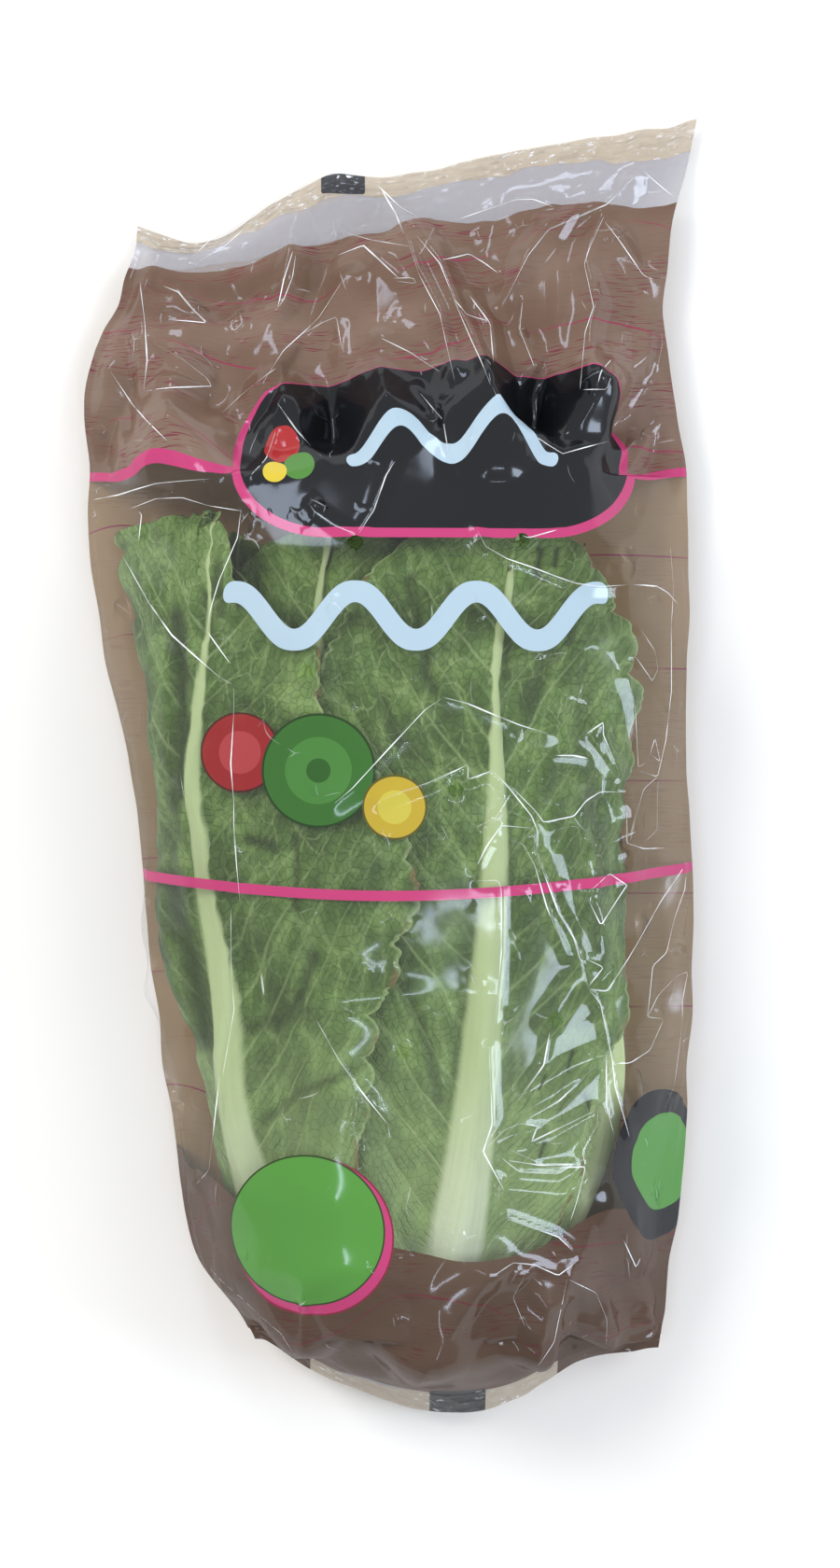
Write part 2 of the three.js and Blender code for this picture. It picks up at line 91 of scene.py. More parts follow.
camera_data = bpy.data.cameras.new("camera")
camera_data.sensor_width = SENSOR
camera_data.lens = SENSOR * CAMERA_HIGH / FRAME_HIGH
camera = bpy.data.objects.new("camera", camera_data)
camera.location = [MM * place for place in (*FRAME_CENTRE, CAMERA_HIGH)]
bpy.context.collection.objects.link(camera)
bpy.context.scene.camera = camera
bpy.context.scene.view_settings.view_transform = "Standard"

# Lamps: place, what they face, length, width, watts, and whether the film mirrors them.
LAMPS = [
    ((-1500, 900, 1700), (0, 0, 0), 1200, 900, 36, False),
    ((1500, 700, 1700), (0, 0, 0), 1200, 900, 12, False),
    ((-520, -420, 2150), (0, 0, 0), 900, 60, 3, True),
    ((800, -30, 2150), (0, 0, 0), 900, 45, 2.6, True),
    ((300, -1500, 1700), (0, 0, 0), 900, 60, 3, True),
    ((2000, -250, 1200), (0, 0, 0), 900, 700, 20, True),
    ((-500, 2300, 1350), (0, 150, 0), 900, 500, 10, True),
]
for number, (place, towards, long, wide, watts, mirrored) in enumerate(LAMPS):
    lamp_data = bpy.data.lights.new(f"lamp_{number + 1}", "AREA")
    lamp_data.shape = "RECTANGLE"
    lamp_data.size = MM * wide
    lamp_data.size_y = MM * long
    lamp_data.energy = watts
    lamp_data.color = linear("#e0ecff" if mirrored else "#fffdf9")[:3]
    lamp = bpy.data.objects.new(f"lamp_{number + 1}", lamp_data)
    lamp.location = [MM * distance for distance in place]
    lamp.rotation_euler = (MM * Vector(towards) - lamp.location).to_track_quat("-Z", "Y").to_euler()
    lamp.visible_camera = False
    lamp.visible_glossy = mirrored
    bpy.context.collection.objects.link(lamp)

world = bpy.data.worlds.new("studio")
world.use_nodes = True
world.node_tree.nodes["Background"].inputs["Color"].default_value = linear("#fbfaf8")
world.node_tree.nodes["Background"].inputs["Strength"].default_value = SKY_STRENGTH
bpy.context.scene.world = world

# Matt white laminate: even, with no shine.
table_top = new_material("matt_white_laminate")
node(table_top, "OutputMaterial", node(table_top, "BsdfPrincipled", "#f3f2f0", Roughness=0.7))
bpy.ops.object.select_all(action="DESELECT")
bpy.ops.mesh.primitive_plane_add(size=2 * MM * FLOOR_HALF, location=(0, 0, 0))
floor = bpy.context.object
floor.name = "table"
floor.data.materials.append(table_top)

# ---- Stem ----
# The butt that all leaves grow from, white and dense, cut off flat with a knife: the cut has the ends
# of the milk vessels in rings round a pith, and has dried to a rusty brown.
STEM_SIDES = 64
KNIFE_BEVEL = 2  # how far the rim of each cut face is rounded
FACE_RING, FACE_RINGS = 2.2, 5  # width and number of the rings that divide the cut faces
SIDE_CUTS = 5  # divisions along the side
SCAR_DEEP = 0.05  # depth of the furrows between leaf scars, as a share of the radius
STEM_ROOM = 0.3  # how far the stem stays inside its solid
stem_low, stem_high = [Vector(corner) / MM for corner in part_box("stem")]
stem_middle = (stem_low + stem_high) / 2
stem_radius = (stem_high.x - stem_low.x) / 2 - STEM_ROOM


def noise(x, y, size, seed):
    """Smooth noise from -1 to 1 with bumps of about that size."""
    table = np.random.default_rng(seed).uniform(-1, 1, (64, 64))
    x, y = x / size, y / size
    i, j = np.floor(x).astype(int), np.floor(y).astype(int)
    p, q = x - i, y - j
    p, q = p * p * (3 - 2 * p), q * q * (3 - 2 * q)
    i, j = i % 64, j % 64
    i1, j1 = (i + 1) % 64, (j + 1) % 64
    low = table[i, j] * (1 - p) + table[i1, j] * p
    high = table[i, j1] * (1 - p) + table[i1, j1] * p
    return low * (1 - q) + high * q


def fall(start, end, x):
    """1 at or below start, 0 at or above end."""
    t = np.clip((x - start) / (end - start), 0, 1)
    return 1 - t * t * (3 - 2 * t)


def points_of(piece):
    """A piece's points in millimetres."""
    flat = np.zeros(3 * len(piece.data.vertices), np.float32)
    piece.data.vertices.foreach_get("co", flat)
    return flat.reshape(-1, 3) / MM


def move_points(piece, points):
    piece.data.vertices.foreach_set("co", (MM * points).astype(np.float32).ravel())
    piece.data.update()


def shade_smooth(piece):
    piece.data.polygons.foreach_set("use_smooth", np.ones(len(piece.data.polygons), bool))


def pick_faces(piece, numbers):
    """Selects these faces of the active piece and no others, and stays in edit mode."""
    bpy.ops.object.mode_set(mode="EDIT")
    bpy.ops.mesh.select_mode(type="FACE")
    bpy.ops.mesh.select_all(action="DESELECT")
    bpy.ops.object.mode_set(mode="OBJECT")
    for number in numbers:
        piece.data.polygons[number].select = True
    bpy.ops.object.mode_set(mode="EDIT")


bpy.ops.object.select_all(action="DESELECT")
bpy.ops.mesh.primitive_cylinder_add(
    vertices=STEM_SIDES, radius=MM * stem_radius, depth=MM * (stem_high.y - stem_low.y),
    location=MM * stem_middle, rotation=(math.pi / 2, 0, 0))
stem = bpy.context.object
stem.name = stem.data.name = "stem_butt"
bpy.ops.object.transform_apply(location=True, rotation=True, scale=True)
# the knife's cut gets a rounded rim, both flat faces get rings, and the side gets rows
pick_faces(stem, [face.index for face in stem.data.polygons if face.normal.y < -0.9])
bpy.ops.mesh.bevel(offset=MM * KNIFE_BEVEL, segments=3, affect="EDGES")
bpy.ops.object.mode_set(mode="OBJECT")
pick_faces(stem, [face.index for face in stem.data.polygons
                  if abs(face.normal.y) > 0.98 and len(face.vertices) > 4])
for _ in range(FACE_RINGS):
    bpy.ops.mesh.inset(thickness=MM * FACE_RING)
bpy.ops.object.mode_set(mode="OBJECT")
pick_faces(stem, [face.index for face in stem.data.polygons if abs(face.normal.y) < 0.3])
bpy.ops.mesh.subdivide(number_cuts=SIDE_CUTS)
bpy.ops.object.mode_set(mode="OBJECT")
at = points_of(stem)
out = at - np.array(stem_middle)
turn, far = np.arctan2(out[:, 2], out[:, 0]), np.hypot(out[:, 0], out[:, 2])
# ribs of the leaf scars along its sides, and a cut face that the knife left slightly stepped
scars = SCAR_DEEP * np.abs(np.sin(3.5 * turn)) ** 0.5
shrunk = 0.02 * (1 + noise(turn * 9, at[:, 1], 3, 400)) * fall(0, 3, stem_low.y + 4 - at[:, 1])
rim = 1 - scars - shrunk
at[:, 0] = stem_middle.x + out[:, 0] * rim
at[:, 2] = stem_middle.z + out[:, 2] * rim
stepped = 0.35 + 0.25 * noise(at[:, 0], at[:, 2], 5, 401) + 0.5 * fall(2, 5, far)
at[:, 1] += fall(0, 1, at[:, 1] - stem_low.y) * stepped
move_points(stem, at)
shade_smooth(stem)

# Lettuce butt: wet, pale and slightly see-through, rusty where it was cut and has dried.
butt = new_material("romaine_stem_cut")
place = node(butt, "Mapping", node(butt, "TexCoord").outputs["Object"],
             Location=[-coordinate * MM for coordinate in stem_middle])
flat = node(butt, "VectorMath", place, (1, 0, 1), operation="MULTIPLY")
far = node(butt, "VectorMath", flat, operation="LENGTH").outputs["Value"]
along_stem = node(butt, "SeparateXYZ", place).outputs[1]
cut_place = stem_low.y - stem_middle.y
cut = node(butt, "MapRange", along_stem, MM * (cut_place + 1.5), MM * (cut_place + 0.7))
mottle = node(butt, "TexNoise", place, Scale=260, Detail=3)
# rings of vessel ends, about 2 mm apart, and a pith 4 mm across
vessels = node(butt, "TexVoronoi", flat, Scale=620).outputs["Distance"]
rings = node(butt, "Math", node(butt, "Math", far, 3100, operation="MULTIPLY"), operation="SINE")
dots = node(butt, "Math", node(butt, "MapRange", vessels, 0.34, 0.2), node(butt, "MapRange", rings, 0.1, 0.6),
    operation="MULTIPLY")
rust = node(butt, "MapRange", node(butt, "Math", mottle, node(butt, "Math", far, 22, operation="MULTIPLY"),
    operation="ADD"), 0.5, 0.95)
face = node(butt, "Mix", rust, "#d9c9a0", "#a8683a", data_type="RGBA")
face = node(butt, "Mix", node(butt, "Math", dots, 0.6, operation="MULTIPLY"), face, "#8a4a2a", data_type="RGBA")
face = node(butt, "Mix", node(butt, "MapRange", far, 0.0026, 0.0018), face, "#e6dcb8", data_type="RGBA")
side = node(butt, "Mix", node(butt, "MapRange", mottle, 0.4, 0.7), "#e9ebd2", "#cfd8ae", data_type="RGBA")
colour = node(butt, "Mix", cut, side, face, data_type="RGBA")
bump = node(butt, "Bump", Height=node(butt, "Math", mottle, dots, operation="SUBTRACT"), Strength=0.6,
    Distance=0.0005)
node(butt, "OutputMaterial", node(butt, "BsdfPrincipled", colour, Roughness=0.42, IOR=1.38, Normal=bump))
stem.data.materials.append(butt)
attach(stem, "root")
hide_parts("stem")

# ---- Heart ----
# The youngest leaves, still closed over each other in a pointed bud: thin, crisp and pale yellow,
# since no light has reached them. Their margins run up the bud in a spiral.
HEART_BANDS = 150
HEART_SIDES = 120
HEART_TURNS = 2.2  # of the spiral, from foot to tip
HEART_LEAVES = 5
RIB_LAP = 0.45  # where a leaf's rib runs, from its hidden margin (0) to its free one (1)
LAP_HIGH = 1.7  # how far a free margin stands out
LAP_ROOM_ACROSS, LAP_ROOM_UP = 2.6, 2.2  # what the margins and veins need outside the bud
POLE = 0.3  # share of the radius within which the bud closes smoothly
heart_low, heart_high = [np.array(corner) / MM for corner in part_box("heart")]
heart_middle, heart_half = (heart_low + heart_high) / 2, (heart_high - heart_low) / 2
# half size across, as a share of the widest, by place along the bud
HEART_OUTLINE = [(-1, 0.52), (-0.8, 0.72), (-0.4, 0.86), (0.1, 0.93), (0.5, 0.9), (0.8, 0.7), (0.93, 0.46),
    (1, 0.1)]
HEART_SHIFT = [(-1, 5.5), (-0.5, 3.5), (0, 0), (0.5, -4), (1, -5)]  # sideways, in mm, as the head's axis bends

bpy.ops.object.select_all(action="DESELECT")
bpy.ops.mesh.primitive_uv_sphere_add(segments=HEART_SIDES, ring_count=HEART_BANDS, radius=1,
    rotation=(-math.pi / 2, 0, 0))
heart = bpy.context.object
heart.name = heart.data.name = "heart_leaves"
bpy.ops.object.transform_apply(location=True, rotation=True, scale=True)
at = points_of(heart) * MM
turn = np.arctan2(at[:, 2], at[:, 0])
t = np.sign(at[:, 1]) * (1 - (1 - np.abs(at[:, 1])) ** 0.75)
from_pole = np.hypot(at[:, 0], at[:, 2]) / POLE
size = np.interp(t, *zip(*HEART_OUTLINE)) * np.minimum(1, from_pole ** 0.8)
y = heart_middle[1] + t * heart_half[1]
# each leaf starts behind the margin of the one before, which stands a little proud
lap = (HEART_LEAVES * turn / (2 * math.pi) + HEART_TURNS * (t + 1) / 2 + 0.25 * noise(y, 0 * y, 24, 410)) % 1
step = LAP_HIGH * (1 - lap) ** 1.6 * fall(0.94, 1.0, lap)
veins = np.abs((y / 9 + 1.6 * np.abs(lap - 0.5)) % 1 - 0.5)
crinkle = 0.55 * noise(turn * 14, y, 5, 411) * np.clip(t + 0.6, 0, 1) + 0.35 * np.exp(-(veins / 0.06) ** 2)
crinkle += 0.8 * np.exp(-((lap - RIB_LAP) / 0.06) ** 2)
across_half, up_half = heart_half[0] - LAP_ROOM_ACROSS, heart_half[2] - LAP_ROOM_UP
radius = size * across_half + (step + crinkle) * np.minimum(1, from_pole)
at[:, 0] = heart_middle[0] + np.interp(t, *zip(*HEART_SHIFT)) * 0.6 + radius * np.cos(turn)
at[:, 2] = heart_middle[2] + radius * up_half / across_half * np.sin(turn)
at[:, 1] = y
move_points(heart, at)
shade_smooth(heart)
for label, values in (("lap", lap), ("height", (t + 1) / 2)):
    heart.data.attributes.new(label, "FLOAT", "POINT").data.foreach_set("value", values.astype(np.float32))

# Blanched lettuce leaf: pale yellow, whiter at the foot, greener at the tip, waxy, with fine veins.
blanched = new_material("romaine_heart_blanched")
lap = node(blanched, "Attribute", attribute_name="lap").outputs["Fac"]
height = node(blanched, "Attribute", attribute_name="height").outputs["Fac"]
place = node(blanched, "TexCoord").outputs["Object"]
mottle = node(blanched, "TexNoise", place, Scale=90, Detail=4)
# a net of fine veins, drawn out lengthways, that comes and goes, and the rib of each leaf
warped = node(blanched, "VectorMath", node(blanched, "Mapping", place, Scale=(250, 110, 250)),
    node(blanched, "Math", mottle, 3, operation="MULTIPLY"), operation="ADD")
net = node(blanched, "TexVoronoi", warped, Scale=1, feature="DISTANCE_TO_EDGE").outputs["Distance"]
net = node(blanched, "Math", node(blanched, "MapRange", net, 0.08, 0.0),
    node(blanched, "MapRange", mottle, 0.42, 0.62), operation="MULTIPLY")
from_rib = node(blanched, "Math", node(blanched, "Math", lap, RIB_LAP, operation="SUBTRACT"), operation="ABSOLUTE")
rib = node(blanched, "MapRange", from_rib, node(blanched, "MapRange", height, 0, 1, 0.16, 0.03), 0.01)
# green tips, mottling, net, rib and the shadow under each margin: each lies over the ones before
colour = node(blanched, "Mix", node(blanched, "MapRange", height, 0.1, 0.6), "#ecebcb", "#d8dc8e", data_type="RGBA")
for amount, tint in (
        (node(blanched, "MapRange", height, 0.7, 1.05), "#a9bf55"),
        (node(blanched, "MapRange", mottle, 0.45, 0.75, 0, 0.6), "#c3cd72"),
        (node(blanched, "Math", net, 0.3, operation="MULTIPLY"), "#f1f0d4"),
        (rib, "#f3f1de"),
        (node(blanched, "MapRange", lap, 0.9, 0.99, 0, 0.7), "#8f9a48")):
    colour = node(blanched, "Mix", amount, colour, tint, data_type="RGBA")
bump = node(blanched, "Bump", Height=node(blanched, "Math", net, 0.3, mottle, operation="MULTIPLY_ADD"),
    Strength=0.6, Distance=0.0006)
node(blanched, "OutputMaterial", node(blanched, "BsdfPrincipled", colour, Roughness=0.5, IOR=1.4, Normal=bump))
heart.data.materials.append(blanched)
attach(heart, "root")
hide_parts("heart")

# ---- Leaves ----
# Eleven leaves wrapped round each other, thin green blades on thick pale ribs, torn and folded a
# little by the packing. Each is a fine grid laid on the inner face of its leaf in the frame, with
# quilting, veins and a ragged margin, and is then thickened outwards.
COLUMNS_OF_A_ROW = 13  # points across each face of a leaf in the frame
HEART_MIDDLE = [sum(pair) / 2 / MM for pair in zip(*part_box("heart"))]


def along(places, values, at):
    """A smooth curve through values at places, level past both ends."""
    places, values = np.asarray(places, float), np.asarray(values, float)
    at = np.clip(at, places[0], places[-1])
    shape = (-1,) + (1,) * (values.ndim - 1)
    before, after = np.r_[0, :len(places) - 1], np.r_[1:len(places), len(places) - 1]
    slopes = (values[after] - values[before]) / (places[after] - places[before]).reshape(shape)
    k = np.clip(np.searchsorted(places, at, side="right") - 1, 0, len(places) - 2)
    step = places[k + 1] - places[k]
    t = ((at - places[k]) / step).reshape(shape)
    bend = step.reshape(shape) * (t * (1 - t) ** 2 * slopes[k] - t * t * (1 - t) * slopes[k + 1])
    return values[k] + (values[k + 1] - values[k]) * t * t * (3 - 2 * t) + bend


def cells(x, y, seed):
    """Distances to the nearest and the next of random points, one in each unit square."""
    table = np.random.default_rng(seed).uniform(0, 1, (64, 64, 2))
    i, j = np.floor(x).astype(int), np.floor(y).astype(int)
    nearest = np.full(np.shape(x), 9.0)
    second = np.full(np.shape(x), 9.0)
    for di in (-1, 0, 1):
        for dj in (-1, 0, 1):
            point = table[(i + di) % 64, (j + dj) % 64]
            gap = np.hypot(i + di + point[..., 0] - x, j + dj + point[..., 1] - y)
            second = np.minimum(second, np.maximum(gap, nearest))
            nearest = np.minimum(nearest, gap)
    return nearest, second


def nearness(x, y, line, half):
    """1 on a line through these corners, falling evenly to 0 at half away from it."""
    best = np.zeros(np.shape(x))
    for (x0, y0), (x1, y1) in zip(line, line[1:]):
        near = np.abs(x - (x0 + x1) / 2) < abs(x1 - x0) / 2 + half
        near &= np.abs(y - (y0 + y1) / 2) < abs(y1 - y0) / 2 + half
        px, py = x[near] - x0, y[near] - y0
        t = np.clip((px * (x1 - x0) + py * (y1 - y0)) / ((x1 - x0) ** 2 + (y1 - y0) ** 2 + 1e-6), 0, 1)
        off = np.hypot(px - t * (x1 - x0), py - t * (y1 - y0))
        best[near] = np.maximum(best[near], 1 - off / half)
    return best


def rows_of(name):
    """A leaf of the frame as rows across it: their y, and the points of its two faces."""
    corners = np.array([corner.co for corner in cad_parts[name].data.vertices]) / MM
    corners = np.unique(np.round(corners, 3), axis=0)
    row_y = np.unique(corners[:, 1])
    inner, outer = [], []
    for y in row_y:
        row = corners[corners[:, 1] == y]
        out = row[:, [0, 2]] - [HEART_MIDDLE[0], HEART_MIDDLE[2]]
        middle = out.mean(0)
        turn = np.arctan2(out[:, 1] * middle[0] - out[:, 0] * middle[1], out @ middle)
        row, out = row[np.argsort(turn)], out[np.argsort(turn)]
        pairs, far = row.reshape(-1, 2, 3), np.hypot(*out.T).reshape(-1, 2)
        pick = np.arange(COLUMNS_OF_A_ROW)
        inner.append(pairs[pick, far.argmin(1)])
        outer.append(pairs[pick, far.argmax(1)])
    return row_y, np.array(inner), np.array(outer)


def new_grid(name, rows, columns):
    bpy.ops.object.select_all(action="DESELECT")
    bpy.ops.mesh.primitive_grid_add(x_subdivisions=columns - 1, y_subdivisions=rows - 1, size=1)
    made = bpy.context.object
    made.name = made.data.name = name
    return made


def set_points(piece, points):
    """Moves a grid's vertices, row by row, to these points."""
    at = points_of(piece)
    order = np.lexsort((np.round(at[:, 0], 2), np.round(at[:, 1], 2)))
    at[order] = points.reshape(-1, 3)
    move_points(piece, at)
    return order


def set_uv(piece, order, across, up):
    """Gives a grid's UV map these places, in metres on the flat piece."""
    flat = np.zeros((len(order), 2), np.float32)
    flat[order] = MM * np.stack([across.ravel(), up.ravel()], 1)
    corner = np.zeros(len(piece.data.loops), int)
    piece.data.loops.foreach_get("vertex_index", corner)
    piece.data.uv_layers[0].data.foreach_set("uv", flat[corner].ravel())


def set_values(piece, order, **values):
    """Stores numbers at each vertex of a grid, by name."""
    for name, value in values.items():
        flat = np.zeros(len(order), np.float32)
        flat[order] = value.ravel()
        piece.data.attributes.new(name, "FLOAT", "POINT").data.foreach_set("value", flat)


RIB_HALF = [(0, 9), (0.12, 8.5), (0.3, 6.5), (0.5, 4.5), (0.75, 1.9), (1, 0.3)]  # by share of the leaf's length
VEIN_STEP = 17.0  # between the side veins, along the rib
VEIN_CLIMB = 1.0  # how fast a side vein climbs as it leaves the rib
VEIN_CURL = 0.006  # and how much faster with each millimetre
QUILT = 7.5  # size of the quilting between the fine veins
BIG_QUILT = 15.0  # and between the coarser ones
THICKEST = 8.0  # greatest thickness that the solidify step is asked for
FINE_STEPS = 97  # places at which a row of the frame is measured
LOBE, LOBE_DEEP = 27, 0.13  # length of the margin's lobes, and their depth as a share of the half width
TOOTH, TOOTH_DEEP = 6.3, 0.035  # and of its teeth
RAG_MEAN = 0.115  # taken off, so that the margin stays where it was on the whole
DROOP = 0.03  # how fast the blade droops past the frame's own margin
DEEPEST, HIGHEST = -3.2, 1.2  # limits of a leaf's relief
LEVEL = [(-190, 0), (86, 0)]  # no change, by place
# How much wider or narrower than its frame a leaf's left (-1) and right (1) margins are, by place.
MARGINS = {
    "leaf_11": {1: [(-190, 0), (-128, -5), (-108, -3), (-88, -4), (-66, -5), (-50, -1), (-10, 5), (18, 0),
                    (33, 11), (44, 6), (56, -6), (86, -2)],
                -1: [(-190, 0), (-30, 0), (20, 6), (50, 4), (66, 4), (76, 3), (86, 0)]},
    "leaf_10": {1: [(-190, 0), (-150, -3), (-115, -7), (-94, -10), (-76, -8), (-60, -4), (0, -2), (40, -4),
                    (86, 0)]},
    "leaf_08": {1: [(-190, 0), (-150, 2), (-110, 3.5), (-70, 2), (-30, 0), (70, 0)]},
}
# How far right of the middle of its frame a leaf's rib runs, by place.
RIB_SHIFT = {"leaf_11": [(-190, 0), (-95, 0), (-45, -5), (-13, 0), (20, 5), (86, 6)]}
# Hollows in the leaves that lie on top, in plan: depth, half width, how dark the painted shade in them is, and
# corners.
HOLLOWS = {
    "leaf_11": [
        (2.4, 5, 1.0, [(-73, 49), (-70, 32), (-69, 8), (-72, -10)]),
        (1.4, 3.5, 0.6, [(-72, -10), (-75, -38)]),
        (2.6, 6, 1.0, [(-75, -38), (-73, -47), (-68, -64), (-64, -81), (-63, -92)]),
        (2, 3, 0.9, [(-94, 62), (-90, 57), (-88, 50)]),
        (1.6, 3.2, 0.9, [(-47, -25), (-39, -27)]),
        (1.4, 2.4, 0.8, [(-31.7, -24), (-31, -47)]),
        (1.4, 2.6, 0.8, [(-25.6, -63), (-28, -73), (-38, -88)]),
        (1.6, 3.2, 0.8, [(-61, 56), (-61, 43)]),
        (1.6, 3, 0.7, [(-57, 66), (-57, 50)]),
        (1.2, 4, 0.6, [(-48, -88), (-36, -84), (-28, -82)]),
        (1.2, 3, 0.6, [(-42, -118), (-30, -108), (-14, -101)]),
        (1.3, 3.4, 0.7, [(-36, -134), (-26, -140), (-18, -136)]),
        (1, 3, 0.5, [(-48, 20), (-44, 8), (-46, -6)]),
        (1, 3, 0.5, [(-82, 30), (-84, 10), (-80, -12)]),
        (1, 3.5, 0.6, [(-80, -30), (-80, -50), (-76, -66)]),
    ],
    "leaf_10": [
        (1.6, 3, 0.8, [(6.7, 62), (8.3, 49), (13.4, 25)]),
        (1.5, 2.2, 0.9, [(48.6, 72), (48.6, 63)]),
        (1.2, 2, 0.9, [(54.7, 72), (54.7, 67)]),
        (1.5, 2.8, 0.8, [(59.5, 54), (58, 41)]),
        (1.4, 4.5, 0.6, [(52, 36), (45, 20)]),
        (1, 2.4, 0.6, [(40, 46), (37, 29)]),
        (1, 5, 0.45, [(64, 30), (62, 8), (68, -12)]),
        (0.8, 1.3, 1.0, [(59.5, -95), (58, -101)]),
        (0.8, 1.2, 1.0, [(51, -103), (49, -107)]),
        (0.8, 1.3, 1.0, [(63, -109), (65, -115)]),
        (0.8, 1.2, 1.0, [(51, -125), (49.5, -130)]),
        (0.6, 4, 0.45, [(26, -40), (24, -70), (21, -110)]),
        (1, 3.4, 0.5, [(-4, 22), (2, 8), (12, 0)]),
        (1, 3, 0.5, [(4, -72), (12, -92), (16, -110)]),
        (1.2, 3.5, 0.5, [(66, -10), (70, -34), (68, -60)]),
    ],
}


def leaf_sheet(name, number, rows, columns):
    """The inner face of a leaf as a fine grid with a ragged margin: its points, and at each of them the
    thickness, the place across from the rib, the half width on that side, the place along, and this as a
    share of the leaf's length."""
    row_y, inner, outer = rows_of(name)
    base, tip = row_y[0], row_y[-1]
    t = np.linspace(0, 1, rows)
    y = base + (tip - base) * (1 - (1 - t) ** 1.3)
    inner, outer = along(row_y, inner, y), along(row_y, outer, y)
    # each row again at many places, to measure lengths along it from the middle of the rib
    fine = np.linspace(0, COLUMNS_OF_A_ROW - 1, FINE_STEPS)
    places = np.arange(COLUMNS_OF_A_ROW)
    inner = along(places, inner.transpose(1, 0, 2), fine).transpose(1, 0, 2)
    outer = along(places, outer.transpose(1, 0, 2), fine).transpose(1, 0, 2)
    first_side = 1 if inner[rows // 2, 0, 0] > inner[rows // 2, -1, 0] else -1
    length = np.cumsum(np.r_["1", np.zeros((rows, 1)), np.linalg.norm(np.diff(inner, axis=1), axis=2)], axis=1)
    rib_shift = along(*zip(*RIB_SHIFT.get(name, LEVEL)), y)[:, None]
    length -= length[:, [FINE_STEPS // 2]] - first_side * rib_shift
    share = (y - base) / (tip - base)
    u = np.linspace(-1, 1, columns)
    points = np.zeros((rows, columns, 3))
    thick, s, wide = np.zeros((3, rows, columns))
    for r in range(rows):
        margins = []
        for side, end in ((-1, length[r, 0]), (1, length[r, -1])):
            lobe = y[r] / LOBE + 1.3 * noise(y[r], 0.0, 40, 10 * number + side) + 0.4 * side
            tooth = y[r] / TOOTH + 1.1 * noise(y[r], 0.0, 9, 77 + number + side)
            rag = LOBE_DEEP * abs(math.sin(math.pi * lobe)) ** 0.6
            rag += TOOTH_DEEP * abs(math.sin(math.pi * tooth)) ** 0.7 - RAG_MEAN
            extra = MARGINS.get(name, {}).get(side * -first_side, LEVEL)
            extra = along(*zip(*extra), np.array([y[r]]))[0]
            margins.append(abs(end) * (1 + min(1, 0.1 + 1.3 * share[r]) * rag) + extra)
        s[r] = np.where(u < 0, u * margins[0], u * margins[1])
        wide[r] = np.where(u < 0, margins[0], margins[1])
        for c in range(3):
            points[r, :, c] = np.interp(s[r], length[r], inner[r, :, c])
        # past the frame's own margin the blade goes on, drooping
        for side, k, n in ((-1, 0, 6), (1, -1, -7)):
            beyond = side * s[r] > side * length[r, k]
            step = inner[r, k] - inner[r, n]
            step = step / np.linalg.norm(step)
            far = np.abs(s[r] - length[r, k])[beyond, None]
            points[r][beyond] = inner[r, k] + far * step - far * far * [0, 0, DROOP]
        thick[r] = np.interp(s[r], length[r], np.linalg.norm(outer[r] - inner[r], axis=1))
    return points, thick, s, wide, np.repeat(y[:, None], columns, 1), np.repeat(share[:, None], columns, 1)


